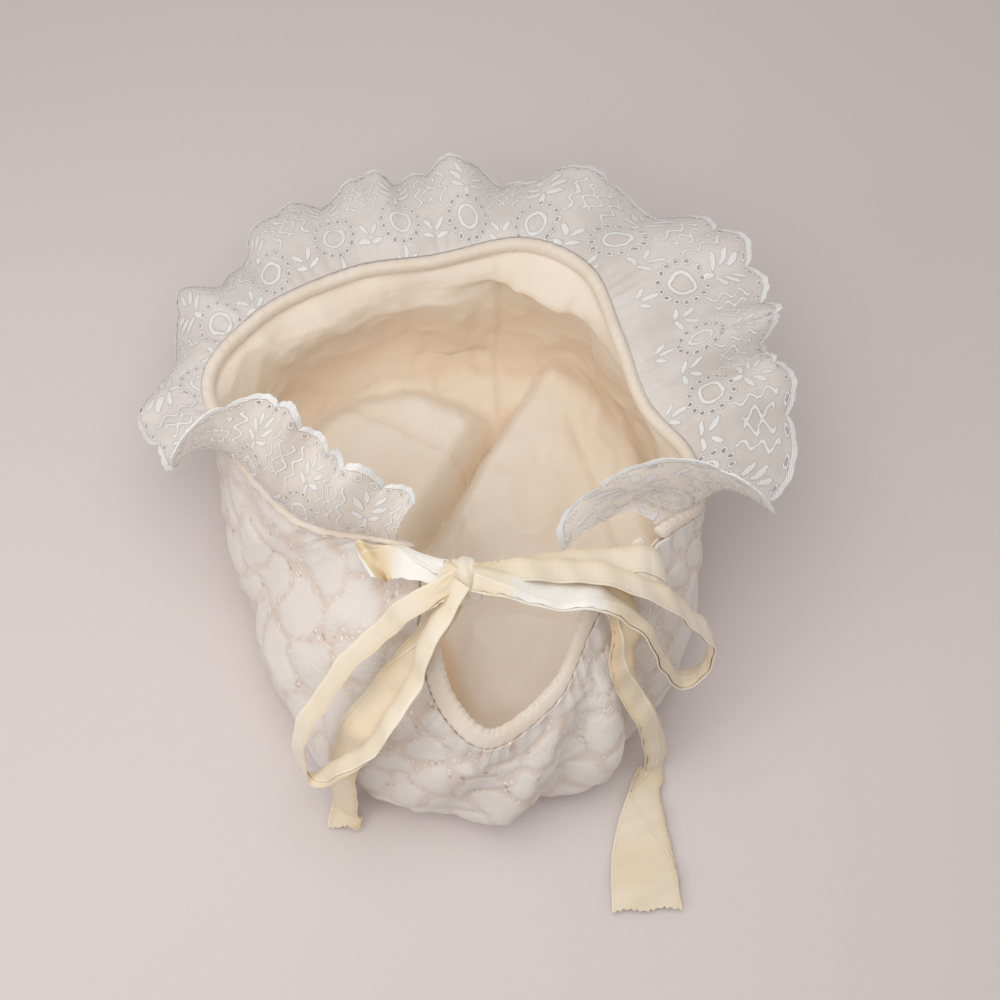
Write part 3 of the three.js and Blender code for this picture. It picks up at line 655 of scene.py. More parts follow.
class Graph:
    """A node tree under construction, with short calls for the nodes that the finishes use."""

    def __init__(self, tree: bpy.types.NodeTree) -> None:
        """Keeps the tree."""
        self.tree = tree

    def add(self, kind: str, inputs: dict | None = None, **settings: object) -> bpy.types.Node:
        """Adds a node.

        Args:
            kind: Its type.
            inputs: Values or sockets by input name or number.
            settings: Its own properties.

        Returns:
            The node.
        """
        node = self.tree.nodes.new(kind)
        for key, value in settings.items():
            setattr(node, key, value)
        for key, value in (inputs or {}).items():
            self.put(node.inputs[key], value)
        return node

    def put(self, socket: bpy.types.NodeSocket, value: object) -> None:
        """Links or sets one input."""
        if isinstance(value, bpy.types.NodeSocket):
            self.tree.links.new(value, socket)
        else:
            socket.default_value = value

    def math(self, operation: str, a: object, b: object = 0.0, c: object = 0.0) -> bpy.types.NodeSocket:
        """One sum of a Math node."""
        return self.add("ShaderNodeMath", {0: a, 1: b, 2: c}, operation=operation).outputs[0]

    def plus(self, a: object, b: object) -> bpy.types.NodeSocket:
        """The sum of two values."""
        return self.math("ADD", a, b)

    def minus(self, a: object, b: object) -> bpy.types.NodeSocket:
        """The first value less the second."""
        return self.math("SUBTRACT", a, b)

    def times(self, a: object, b: object) -> bpy.types.NodeSocket:
        """The product of two values."""
        return self.math("MULTIPLY", a, b)

    def most(self, a: object, b: object) -> bpy.types.NodeSocket:
        """The larger of two values."""
        return self.math("MAXIMUM", a, b)

    def off(self, a: object, b: object) -> bpy.types.NodeSocket:
        """How far two values lie apart."""
        return self.math("ABSOLUTE", self.minus(a, b))

    def in_step(self, value: object) -> bpy.types.NodeSocket:
        """A value's place in its whole step, from -0.5 to 0.5."""
        return self.minus(self.math("FRACT", value), 0.5)

    def length(self, vector: object) -> bpy.types.NodeSocket:
        """How long a vector is."""
        return self.add("ShaderNodeVectorMath", {0: vector}, operation="LENGTH").outputs["Value"]

    def shift(self, operation: str, vector: object, other: tuple) -> bpy.types.NodeSocket:
        """A vector changed by another, part by part."""
        return self.add("ShaderNodeVectorMath", {0: vector, 1: other}, operation=operation).outputs[0]

    def step(self, value: object, low: float, high: float) -> bpy.types.NodeSocket:
        """A soft step of a value, from 0 at low to 1 at high."""
        inputs = {"Value": value, "From Min": low, "From Max": high}
        return self.add("ShaderNodeMapRange", inputs, interpolation_type="SMOOTHSTEP").outputs["Result"]

    def mix(self, factor: object, a: object, b: object) -> bpy.types.NodeSocket:
        """A colour between two."""
        node = self.add("ShaderNodeMix", data_type="RGBA")
        self.put(node.inputs[0], factor)
        self.put(node.inputs[6], a)
        self.put(node.inputs[7], b)
        return node.outputs[2]

    def noise(self, where: object, pitch: float, detail: float = 2.0, rough: float = 0.5) -> object:
        """Noise with lumps of a pitch in the units of its vector."""
        inputs = {"Vector": where, "Scale": 1.0 / pitch, "Detail": detail, "Roughness": rough}
        return self.add("ShaderNodeTexNoise", inputs).outputs["Fac"]

    def cells(self, where: object, pitch: float) -> bpy.types.NodeSocket:
        """The distance from the middle of the nearest of many random cells of a pitch."""
        return self.add("ShaderNodeTexVoronoi", {"Vector": where, "Scale": 1.0 / pitch}).outputs["Distance"]

    def place(self, where: object, move: tuple, turn: float, size: tuple) -> bpy.types.NodeSocket:
        """The distance from a turned and stretched motif's middle, 1 on its edge."""
        inputs = {
            "Vector": where,
            "Location": (move[0], move[1], 0),
            "Rotation": (0, 0, math.radians(turn)),
            "Scale": (size[0], size[1], 1),
        }
        moved = self.add("ShaderNodeMapping", inputs, vector_type="TEXTURE").outputs[0]
        return self.length(moved)

    def attribute(self, name: str) -> bpy.types.NodeSocket:
        """A value kept on the mesh."""
        return self.add("ShaderNodeAttribute", attribute_name=name).outputs["Fac"]

    def split(self, vector: object) -> bpy.types.Node:
        """The parts of a vector."""
        return self.add("ShaderNodeSeparateXYZ", {0: vector})

    def join(self, x: object, y: object, z: object = 0.0) -> bpy.types.NodeSocket:
        """A vector of three parts."""
        return self.add("ShaderNodeCombineXYZ", {0: x, 1: y, 2: z}).outputs[0]


def new_group(name: str, inputs: dict[str, float | str], outputs: dict[str, str]) -> tuple:
    """Starts a shader node group.

    Args:
        name: Its name.
        inputs: Input names with a default number, or the word vector.
        outputs: Output names with the kind of each, value or colour.

    Returns:
        The tree, its graph, the input node and the output node.
    """
    tree = bpy.data.node_groups.new(name, "ShaderNodeTree")
    for key, value in inputs.items():
        kind = "NodeSocketVector" if value == "vector" else "NodeSocketFloat"
        socket = tree.interface.new_socket(name=key, in_out="INPUT", socket_type=kind)
        if value != "vector":
            socket.default_value = value
    for key, kind in outputs.items():
        sort = "NodeSocketColor" if kind == "colour" else "NodeSocketFloat"
        tree.interface.new_socket(name=key, in_out="OUTPUT", socket_type=sort)
    graph = Graph(tree)
    return tree, graph, graph.add("NodeGroupInput"), graph.add("NodeGroupOutput")


class SharedEffects:
    """Node groups that several finishes use."""

    def __init__(self) -> None:
        """Builds each group once."""
        self.weave = self.build_weave()
        self.mottle = self.build_mottle()

    def build_weave(self) -> bpy.types.NodeTree:
        """A plain weave over a map in mm: height of the threads, from 0 to 1."""
        tree, g, start, end = new_group("plain_weave", {"Map": "vector", "Pitch": 0.5}, {"Height": "value"})
        parts = g.split(start.outputs["Map"])
        turn = g.math("DIVIDE", 2 * math.pi, start.outputs["Pitch"])
        warp = g.math("SINE", g.times(parts.outputs[0], turn))
        weft = g.math("SINE", g.times(parts.outputs[1], turn))
        g.put(end.inputs["Height"], g.math("MULTIPLY_ADD", g.times(warp, weft), 0.5, 0.5))
        return tree

    def build_mottle(self) -> bpy.types.NodeTree:
        """The uneven tone of old cloth: a mask from 0 to 1, in lumps of a pitch in metres."""
        tree, g, start, end = new_group("mottle", {"Where": "vector", "Pitch": 0.02}, {"Mask": "value"})
        scale = g.math("DIVIDE", 1.0, start.outputs["Pitch"])
        inputs = {"Vector": start.outputs["Where"], "Scale": scale, "Detail": 3.0}
        broad = g.add("ShaderNodeTexNoise", inputs).outputs["Fac"]
        g.put(end.inputs["Mask"], g.step(broad, 0.3, 0.7))
        return tree


@dataclass
class Finish:
    """Base of a finish: a material whose Principled shader gets its plain numbers here."""

    name: str
    roughness: float = 0.85
    sheen: float = 0.25
    shared: SharedEffects | None = None

    def start(self) -> tuple[bpy.types.Material, Graph, bpy.types.Node]:
        """Makes the material with its Principled shader."""
        material = bpy.data.materials.new(self.name)
        material.use_nodes = True
        material.node_tree.nodes.clear()
        graph = Graph(material.node_tree)
        shader = graph.add("ShaderNodeBsdfPrincipled")
        end = graph.add("ShaderNodeOutputMaterial")
        material.node_tree.links.new(shader.outputs["BSDF"], end.inputs["Surface"])
        shader.inputs["Roughness"].default_value = self.roughness
        shader.inputs["Sheen Weight"].default_value = self.sheen
        shader.inputs["Sheen Roughness"].default_value = 0.5
        shader.inputs["Specular IOR Level"].default_value = 0.3
        return material, graph, shader

    def group(self, graph: Graph, tree: bpy.types.NodeTree, inputs: dict) -> bpy.types.NodeSocket:
        """Places a shared group in this material and gives its one value."""
        node = graph.add("ShaderNodeGroup")
        node.node_tree = tree
        for key, value in inputs.items():
            graph.put(node.inputs[key], value)
        return node.outputs[0]

    def mottle(self, graph: Graph, pitch: float) -> bpy.types.NodeSocket:
        """The uneven tone over the piece, pitch in metres."""
        return self.group(graph, self.shared.mottle, {"Where": self.where(graph), "Pitch": pitch})

    def weave(self, graph: Graph, pitch: float) -> bpy.types.NodeSocket:
        """The height of the threads over the piece's map, pitch in mm."""
        return self.group(graph, self.shared.weave, {"Map": self.flat(graph), "Pitch": pitch})

    def where(self, graph: Graph) -> bpy.types.NodeSocket:
        """Places on the piece, in metres."""
        return graph.add("ShaderNodeTexCoord").outputs["Object"]

    def flat(self, graph: Graph) -> bpy.types.NodeSocket:
        """The piece's map."""
        return graph.add("ShaderNodeUVMap").outputs["UV"]

    def bump(
        self, graph: Graph, shader: bpy.types.Node, height: object, depth: float, strength: float
    ) -> None:
        """Feeds the shader's normal from a height, depth in mm."""
        node = graph.add("ShaderNodeBump", {"Height": height, "Distance": depth * MM, "Strength": strength})
        graph.put(shader.inputs["Normal"], node.outputs["Normal"])


class EmbroideredShell(Finish):
    """White embroidered cotton: raised patches with stitched, slightly pink channels between them."""

    channel_tones = ((0.76, 0.63, 0.54, 1), (0.81, 0.71, 0.64, 1))
    patch_tones = ((0.81, 0.745, 0.69, 1), (0.85, 0.8, 0.755, 1))
    fleck_tone = (0.5, 0.34, 0.26, 1)
    silk_tone = (0.92, 0.9, 0.86, 1)
    fleck_pitch = 0.0019
    stitch_pitch = 0.0013

    def build(self) -> bpy.types.Material:
        """Makes the material."""
        material, g, shader = self.start()
        where = self.where(g)
        rough = g.math("MULTIPLY_ADD", g.noise(where, 0.0034, 4.0, 0.65), 1.3, -0.65)
        ragged = g.plus(g.attribute("patch"), rough)
        solid = g.step(ragged, 0.0, 0.75)
        mottle = self.mottle(g, 0.016)
        ground = g.mix(mottle, *self.channel_tones)
        white = g.mix(mottle, *self.patch_tones)
        cloth = g.mix(solid, ground, white)
        drawn = g.shift("MULTIPLY", where, (1.0, 0.55, 1.0))
        fleck = g.step(g.cells(drawn, self.fleck_pitch), 0.34, 0.16)
        channel = g.minus(1.0, g.step(ragged, 0.12, 0.5))
        pick = g.step(g.noise(where, 0.0045, 1.0), 0.5, 0.62)
        dark = g.times(g.times(fleck, channel), pick)
        cloth = g.mix(g.times(dark, 0.75), cloth, self.fleck_tone)
        slant = {"Vector": where, "Rotation": (0.4, 0.2, 0.7), "Scale": (1.0, 0.36, 1.0)}
        slanted = g.add("ShaderNodeMapping", slant).outputs[0]
        stitch = g.step(g.cells(slanted, self.stitch_pitch), 0.36, 0.2)
        silk = g.times(stitch, channel)
        silk = g.times(silk, g.step(g.noise(where, 0.006, 1.0), 0.62, 0.54))
        cloth = g.mix(silk, cloth, self.silk_tone)
        g.put(shader.inputs["Base Color"], cloth)
        g.put(shader.inputs["Roughness"], g.math("MULTIPLY_ADD", silk, -0.5, self.roughness))
        threads = self.weave(g, 0.55)
        fuzz = g.times(g.noise(where, 0.0011, 3.0), 0.9)
        fine = g.plus(g.times(threads, 0.25), fuzz)
        fine = g.plus(fine, g.times(solid, 0.5))
        fine = g.plus(fine, g.times(silk, 0.5))
        self.bump(g, shader, g.minus(fine, g.times(dark, 0.4)), 0.45, 0.7)
        return material


class LiningCloth(Finish):
    """Thin cream lining with faint creases and one small stain; paler and pinker in the neck, partly
    painted light; with painted shade in its folds, a painted neck shadow and a faint painted glow.
    """

    cream_tones = ((0.85, 0.735, 0.6, 1), (0.88, 0.785, 0.675, 1))
    # Paler, pinker cream for the neck: partly the cloth's own pink, partly painted light where the neck's
    # floor lies in shade.
    lit_neck_tones = ((0.88, 0.78, 0.68, 1), (0.9, 0.815, 0.73, 1))
    # Painted shade: the darker, warmer cream mixed in where the mesh's shade values lie.
    shade_tone = (0.66, 0.47, 0.28, 1)
    # Painted shadow: the deep orange shadow by the neck's left wall.
    neck_shadow_tone = (0.74, 0.46, 0.2, 1)
    stain_tone = (0.5, 0.27, 0.12, 1)
    # Painted light: the cloth glows faintly in its own colour, standing in for light that comes through the
    # thin cloth and brightening its shadows.
    painted_glow = 0.06

    def build(self) -> bpy.types.Material:
        """Makes the material."""
        material, g, shader = self.start()
        where = self.where(g)
        parts = g.split(where)
        mottle = self.mottle(g, 0.022)
        cream = g.mix(mottle, *self.cream_tones)
        # Painted light in part: the neck's cream is paler than the rest.
        pink = g.mix(mottle, *self.lit_neck_tones)
        neck = g.step(parts.outputs[1], 0.004, -0.03)
        cloth = g.mix(neck, cream, pink)
        # Painted shade in the lining's valley, folds, recess below the rim and under the flap; on the
        # centre seam it is the seam's own darker line.
        cloth = g.mix(g.times(g.attribute("shade"), 0.8), cloth, self.shade_tone)
        # Painted orange shadow by the neck's left wall.
        cloth = g.mix(g.times(g.attribute("painted_neck_shadow"), 0.6), cloth, self.neck_shadow_tone)
        blot = g.times(g.noise(where, 0.0012), 0.4)
        stain = g.step(g.plus(g.attribute("stain"), blot), 0.75, 1.1)
        cloth = g.mix(g.times(stain, 0.65), cloth, self.stain_tone)
        g.put(shader.inputs["Base Color"], cloth)
        # Painted glow in the cloth's own colour.
        g.put(shader.inputs["Emission Color"], cloth)
        shader.inputs["Emission Strength"].default_value = self.painted_glow
        threads = self.weave(g, 0.45)
        crumple = g.noise(where, 0.006, 4.0, 0.55)
        height = g.plus(g.times(threads, 0.12), g.times(crumple, 1.6))
        self.bump(g, shader, height, 0.6, 0.6)
        return material


class BindingCloth(Finish):
    """Cream bias binding with a line of stitches."""

    tones = ((0.83, 0.71, 0.59, 1), (0.88, 0.785, 0.68, 1))
    stitch_tone = (0.93, 0.89, 0.82, 1)
    # The stitches' pitch and how far round the strip their line lies, in mm.
    stitch_pitch = 2.4
    stitch_line = 1.2

    def build(self) -> bpy.types.Material:
        """Makes the material."""
        material, g, shader = self.start()
        where = self.where(g)
        parts = g.split(self.flat(g))
        mottle = self.mottle(g, 0.012)
        cloth = g.mix(mottle, *self.tones)
        beat = g.math("FRACT", g.math("DIVIDE", parts.outputs[0], self.stitch_pitch))
        run = g.off(beat, 0.5)
        stitch = g.step(run, 0.34, 0.24)
        line = g.step(g.off(parts.outputs[1], self.stitch_line), 0.3, 0.15)
        stitch = g.times(stitch, line)
        cloth = g.mix(g.times(stitch, 0.5), cloth, self.stitch_tone)
        g.put(shader.inputs["Base Color"], cloth)
        threads = self.weave(g, 0.5)
        fuzz = g.times(g.noise(where, 0.0018, 3.0), 0.8)
        height = g.plus(g.times(threads, 0.2), fuzz)
        self.bump(g, shader, g.plus(height, g.times(stitch, 0.6)), 0.4, 0.7)
        return material


@dataclass(frozen=True)
class Motif:
    """One satin-stitched oval of the lace: middle and half sizes in mm, turn in degrees."""

    x: float
    y: float
    turn: float
    long: float
    wide: float


class EyeletLace(Finish):
    """Sheer organza with a scalloped, stitched edge, eyelets, leaves and waved lines.

    The map is in scallops along and mm from the free edge across. The pattern repeats every two scallops.
    """

    pitch = 11.5
    cloth_tones = ((0.84, 0.78, 0.73, 1), (0.89, 0.84, 0.8, 1))
    stitch_tone = (0.98, 0.965, 0.955, 1)
    # The ring round each second motif: where it lies, its eyelets and its sizes in mm.
    ring_middle = (0.0, 22.5, 0.0)
    ring_eyelets = 14
    ring_radius = 6.2
    eye_radius = 3.1
    # Middle, low end and high end of each waved line in mm, and where its wave starts.
    waves = ((7.4, 5, 19, 0.0), (-7.4, 5, 19, 3.1), (10.4, 6, 17, 1.2), (-10.4, 6, 17, 4.4))
    leaves = (
        Motif(-2.0, 6.6, 62, 2.2, 0.75),
        Motif(2.0, 6.6, -62, 2.2, 0.75),
        Motif(-3.0, 9.2, 42, 2.5, 0.85),
        Motif(3.0, 9.2, -42, 2.5, 0.85),
        Motif(-2.7, 12.3, 20, 2.3, 0.8),
        Motif(2.7, 12.3, -20, 2.3, 0.8),
        Motif(0.0, 14.6, 90, 2.2, 0.8),
        Motif(9.6, 24.0, 55, 2.4, 0.8),
        Motif(-9.6, 24.0, -55, 2.4, 0.8),
        Motif(9.2, 27.6, 15, 2.4, 0.8),
        Motif(-9.2, 27.6, -15, 2.4, 0.8),
        Motif(0.0, 32.0, 90, 2.6, 0.9),
        Motif(-2.4, 34.0, 50, 2.2, 0.75),
        Motif(2.4, 34.0, -50, 2.2, 0.75),
    )

    def build(self) -> bpy.types.Material:
        """Makes the material."""
        material, g, shader = self.start()
        where = self.where(g)
        parts = g.split(self.flat(g))
        along, deep = parts.outputs[0], parts.outputs[1]
        cell = g.in_step(g.math("DIVIDE", along, 2.0))
        drift = g.math("MULTIPLY_ADD", g.noise(where, 0.004, 2.0), 1.6, -0.8)
        spot = g.join(g.math("MULTIPLY_ADD", cell, 2 * self.pitch, drift), g.minus(deep, drift))
        stitched = g.step(deep, 2.1, 1.6)
        for m in self.leaves:
            oval = g.step(g.place(spot, (m.x, m.y), m.turn, (m.long, m.wide)), 1.0, 0.82)
            stitched = g.most(stitched, oval)
        waved = self.waved_lines(g, spot)
        ring, holes = self.eyelets(g, along, deep, spot)
        stitched = g.most(g.most(stitched, waved), ring)
        mottle = self.mottle(g, 0.014)
        ground = g.mix(mottle, *self.cloth_tones)
        g.put(shader.inputs["Base Color"], g.mix(stitched, ground, self.stitch_tone))
        g.put(shader.inputs["Roughness"], g.math("MULTIPLY_ADD", stitched, -0.3, self.roughness))
        sheer = g.math("MULTIPLY_ADD", mottle, 0.2, 0.46)
        alpha = g.most(g.times(stitched, 0.97), sheer)
        g.put(shader.inputs["Alpha"], g.times(alpha, g.minus(1.0, holes)))
        slanted = g.plus(g.times(cell, 2 * self.pitch), deep)
        strands = g.math("SINE", g.times(slanted, 9.0))
        height = g.times(stitched, g.math("MULTIPLY_ADD", strands, 0.25, 1.0))
        height = g.plus(height, g.times(g.noise(where, 0.005, 2.0), 0.8))
        self.bump(g, shader, g.minus(height, holes), 0.45, 0.7)
        return material

    def waved_lines(self, g: Graph, spot: object) -> bpy.types.NodeSocket:
        """Narrow waved lines that run from the edge towards the seam."""
        parts = g.split(spot)
        x, y = parts.outputs[0], parts.outputs[1]
        total = None
        for middle, low, high, phase in self.waves:
            sway = g.times(g.math("SINE", g.math("MULTIPLY_ADD", y, 1.25, phase)), 0.85)
            off = g.off(x, g.plus(sway, middle))
            line = g.times(g.step(off, 0.55, 0.32), g.step(y, high, high - 1))
            line = g.times(line, g.step(y, low, low + 1))
            total = line if total is None else g.most(total, line)
        return total

    def eyelets(self, g: Graph, along: object, deep: object, spot: object) -> tuple:
        """Eyelets behind the edge and in a ring round each second motif.

        Args:
            g: The graph.
            along: Scallops along.
            deep: Distance from the free edge in mm.
            spot: Place in the repeat in mm.

        Returns:
            The stitched rims and the open holes, as masks.
        """
        share = g.in_step(g.times(along, 3.0))
        edge = g.join(g.times(share, self.pitch / 3), deep)
        off_edge = g.place(edge, (0.0, 2.9), 0.0, (1.0, 1.0))
        centred = g.shift("SUBTRACT", spot, self.ring_middle)
        parts = g.split(centred)
        angle = g.math("ARCTAN2", parts.outputs[1], parts.outputs[0])
        beat = g.in_step(g.times(angle, self.ring_eyelets / (2 * math.pi)))
        far = g.length(centred)
        chain = g.join(g.times(beat, 2.6), g.minus(far, self.ring_radius))
        off = g.math("MINIMUM", off_edge, g.length(chain))
        inner = g.step(g.off(far, self.eye_radius), 0.65, 0.4)
        rims = g.most(g.step(off, 1.1, 0.85), inner)
        return rims, g.step(off, 0.62, 0.45)


class SatinRibbon(Finish):
    """Cream satin ribbon with fine lines along it, painted shade, darker and yellower, in its creases and
    along its tails, and painted highlights.
    """

    tones = ((0.85, 0.73, 0.56, 1), (0.88, 0.785, 0.645, 1))
    # Painted shade: darker, yellower satin.
    painted_shade_tone = (0.76, 0.58, 0.35, 1)
    # Painted highlight: near-white satin.
    painted_highlight_tone = (0.93, 0.9, 0.85, 1)
    selvedge_tone = (0.93, 0.87, 0.74, 1)
    half_width = 9.0

    def build(self) -> bpy.types.Material:
        """Makes the material."""
        material, g, shader = self.start()
        shader.inputs["Anisotropic"].default_value = 0.4
        shader.inputs["Coat Weight"].default_value = 0.08
        shader.inputs["Coat Roughness"].default_value = 0.35
        parts = g.split(self.flat(g))
        cloth = g.mix(self.mottle(g, 0.018), *self.tones)
        # Painted shade where the mesh's shade values lie.
        cloth = g.mix(g.attribute("shade"), cloth, self.painted_shade_tone)
        # Painted highlight, where the satin is also made less rough.
        cloth = g.mix(g.attribute("painted_highlight"), cloth, self.painted_highlight_tone)
        edge = g.off(parts.outputs[1], self.half_width)
        selvedge = g.step(edge, 8.1, 8.6)
        cloth = g.mix(g.times(selvedge, 0.35), cloth, self.selvedge_tone)
        g.put(shader.inputs["Base Color"], cloth)
        roughness = g.math("MULTIPLY_ADD", g.attribute("painted_highlight"), -0.2, self.roughness)
        g.put(shader.inputs["Roughness"], roughness)
        lines = g.math("SINE", g.times(parts.outputs[1], 16.0))
        crumple = g.noise(g.join(parts.outputs[0], g.times(parts.outputs[1], 0.35)), 3.2, 3.0)
        height = g.plus(g.times(lines, 0.04), g.times(crumple, 1.3))
        self.bump(g, shader, g.plus(height, g.times(selvedge, 0.5)), 0.5, 0.55)
        return material


class PaleFloor(Finish):
    """The plain pale surface that the bonnet lies on."""

    tones = ((0.73, 0.66, 0.645, 1), (0.76, 0.69, 0.675, 1))

    def build(self) -> bpy.types.Material:
        """Makes the material."""
        material, g, shader = self.start()
        where = self.where(g)
        g.put(shader.inputs["Base Color"], g.mix(g.noise(where, 0.2, 2.0), *self.tones))
        self.bump(g, shader, g.noise(where, 0.0012, 3.0), 0.3, 0.25)
        return material


@dataclass
class Body:
    """The two cloths of the bonnet's body."""

    form: BodyForm
    shell_finish: bpy.types.Material
    lining_finish: bpy.types.Material
    patch_pitch: float = 11.5
    patch_relief: float = 0.45
    patch_rows: tuple[float, ...] = (0.08, 0.32, 0.57, 0.84, 1.3, 1.85, 2.2, 2.5, 2.8)
    seam_at: float = 9.5
    stain_at: tuple[float, float] = (39.5, 55.0)
    # Flat sizes of the cloth in metres.
    shell_flat: tuple[float, float] = (0.43, 0.14)
    lining_flat: tuple[float, float] = (0.42, 0.14)
    # A point in the hollow, in mm.
    inside: tuple[float, float, float] = (0.0, 0.0, 30.0)

    def down_of(self, share: np.ndarray) -> np.ndarray:
        """Even steps along the cloth from the rim to the middle of the flat patch."""
        return np.interp(share, [0.0, 0.45, 0.62, 1.0], [0.0, 1.0, 2.0, 3.0])

    def seeds(self) -> np.ndarray:
        """The middles of the raised patches, in mm, spread evenly with a little unevenness."""
        spread = np.random.default_rng(11)
        points = []
        for row, down in enumerate(self.patch_rows):
            ring = self.form.outside(np.linspace(0, COUNT, 200, endpoint=False), np.full(200, down))
            length = np.linalg.norm(np.roll(ring, -1, axis=0) - ring, axis=1).sum()
            number = max(4, round(length / self.patch_pitch))
            place = np.arange(number) + 0.5 * (row % 2) + spread.uniform(-0.28, 0.28, number)
            place = place * COUNT / number
            points.append(self.form.outside(place, down + spread.uniform(-0.05, 0.05, number)))
        return np.concatenate(points)

    def patches(self, points: np.ndarray) -> np.ndarray:
        """How far inside its patch each point is, from 0 on a channel to 1."""
        seeds = self.seeds()
        wander = np.stack([ruffle(points, 7.0, seed) for seed in (31, 32, 33)], axis=1)
        points = points + 3.6 * wander
        value = np.empty(len(points))
        for start in range(0, len(points), 4000):
            block = points[start : start + 4000]
            far = np.linalg.norm(block[:, None, :] - seeds[None, :, :], axis=2)
            nearest = np.partition(far, 1, axis=1)[:, :2]
            value[start : start + 4000] = (nearest[:, 1] - nearest[:, 0]) / self.patch_pitch
        return smooth(value, 0.0, 0.42)

    def shell_surface(self, along: np.ndarray, across: np.ndarray) -> Shaped:
        """The outer cloth with its patches and its gathers at the rim."""
        place = along * COUNT
        down = self.down_of(across)
        points, out = self.form.layer(place, down, 0.0)
        patch = self.patches(points)
        lying = 1 - smooth(down, 1.6, 1.95)
        gather = np.sin(place * 31 + 2 * np.sin(place * 5.3)) * nearness(down, 0.3) * 0.35
        lump = ruffle(points, 9.0, 3) * 0.8 + 0.5 * self.wrinkles(points, 13.0, 51)
        lift = lying * smooth(down, 0.0, 0.12) * (self.patch_relief * (patch - 0.7) + lump)
        lift = lift + lying * (gather + 0.3 * nearness(down, 0.05))
        points = points + lift[:, None] * out
        flat = np.stack([along * 430, across * 120], axis=1)
        return Shaped(points, flat, {"patch": patch})

    def lining_surface(self, along: np.ndarray, across: np.ndarray) -> Shaped:
        """The loose inner cloth with its pockets, heaps, valley and seam, and where painted shade and a
        painted neck shadow go.
        """
        place = along * COUNT
        down = self.down_of(across)
        points, out = self.form.layer(place, down, self.form.lining_depth)
        bulge, rise = self.form.loose(place, down, points)
        free = smooth(down, 0.02, 0.25)
        broad = (ruffle(points, 22.0, 5) + 0.5) * 1.1
        small = (ruffle(points, 8.0, 8) + 0.5) * 0.4
        drawn = points * np.array([1.0, 0.55, 0.8])
        crumple = 1.3 * self.wrinkles(drawn, 15.0, 41) + 0.7 * self.wrinkles(drawn, 8.0, 42)
        loose = broad + small + crumple
        wall = 1 - smooth(down, 1.9, 2.2)
        inward = bulge + free * wall * loose
        x, y = points[:, 0], points[:, 1]
        tuck = self.line_nearness(x, y, TUCK)
        pleat = self.line_nearness(x, y, PLEAT)
        seam = nearness(x - self.seam_at, 0.8) * smooth(y, 40, 46) * free
        floor = smooth(down, 1.7, 2.2)
        rise = rise - floor * np.minimum(rise, 1.3 * tuck + 1.0 * pleat)
        rise = rise + floor * loose
        points = points - (inward + 0.5 * seam)[:, None] * out + rise[:, None] * UP
        # Painted shade in the valley between the heaps.
        deep = nearness(self.form.left_of_valley(points) - 0.5, 2.6)
        deep = deep * smooth(y, -6, 4) * (1 - smooth(y, 42, 50))
        # Painted shade in the recess between the rim's band and the heaps, and a painted shadow under the
        # flap at the top.
        hollow = smooth(down, 0.45, 0.8) * (1 - smooth(down, 1.75, 2.15)) * smooth(y, -5, 25)
        hem = nearness(places_apart(place, np.full_like(place, 9.5)), 0.75) * smooth(down, 0.31, 0.37)
        hollow = np.maximum(hollow, 1.6 * hem * (1 - smooth(down, 0.42, 0.75)))
        # The seam's share is its own darker line; the valley, tuck and pleat shares are painted shade.
        folds = 0.6 * deep * floor + 0.3 * seam + 0.15 * (tuck + pleat) * floor
        shade = np.clip(folds + 0.4 * hollow, 0, 1)
        # Painted shadow by the neck's left wall, along the NECK_SHADOW line.
        painted_neck_shadow = self.line_nearness(points[:, 0], points[:, 1], NECK_SHADOW) * smooth(down, 0.15, 0.4)
        stain = nearness(np.hypot(x - self.stain_at[0], y - self.stain_at[1]), 2.2) * (down < 1)
        flat = np.stack([along * 420, across * 120], axis=1)
        return Shaped(points, flat, {"shade": shade, "painted_neck_shadow": painted_neck_shadow, "stain": stain})

    def wrinkles(self, points: np.ndarray, pitch: float, seed: int) -> np.ndarray:
        """Narrow ridges with soft hollows between them, as in creased cloth, from 0 to 1."""
        return (1 - np.abs(np.clip(2.2 * ruffle(points, pitch, seed), -1, 1))) ** 2

    def line_nearness(self, x: np.ndarray, y: np.ndarray, line: Line) -> np.ndarray:
        """How near points are to a line seen from above, from 0 to 1."""
        a = line.start
        way = np.array(line.end) - np.array(a)
        t = np.clip(((x - a[0]) * way[0] + (y - a[1]) * way[1]) / way.dot(way), 0, 1)
        return nearness(np.hypot(x - a[0] - t * way[0], y - a[1] - t * way[1]), line.width)

    def build(self) -> list[bpy.types.Object]:
        """Makes shell and lining."""
        shell = bent_grid("shell_cloth", 320, 120, self.shell_surface)
        close_joins(shell, self.inside)
        thicken(shell, self.form.shell_wall * 0.7, -1)
        dress(shell, self.shell_finish, "shell")
        lining = bent_grid("lining_cloth", 320, 130, self.lining_surface)
        close_joins(lining, self.inside)
        thicken(lining, self.form.lining_wall * 0.6, -1)
        dress(lining, self.lining_finish, "lining")
        return [shell, lining]


@dataclass(frozen=True)
class Strip:
    """One padded strip: its names, ends, sizes in mm, steps along and flat size in metres."""

    name: str
    node: str
    ends: tuple[float, float]
    wide: float
    thick: float
    steps: int
    flat: tuple[float, float]


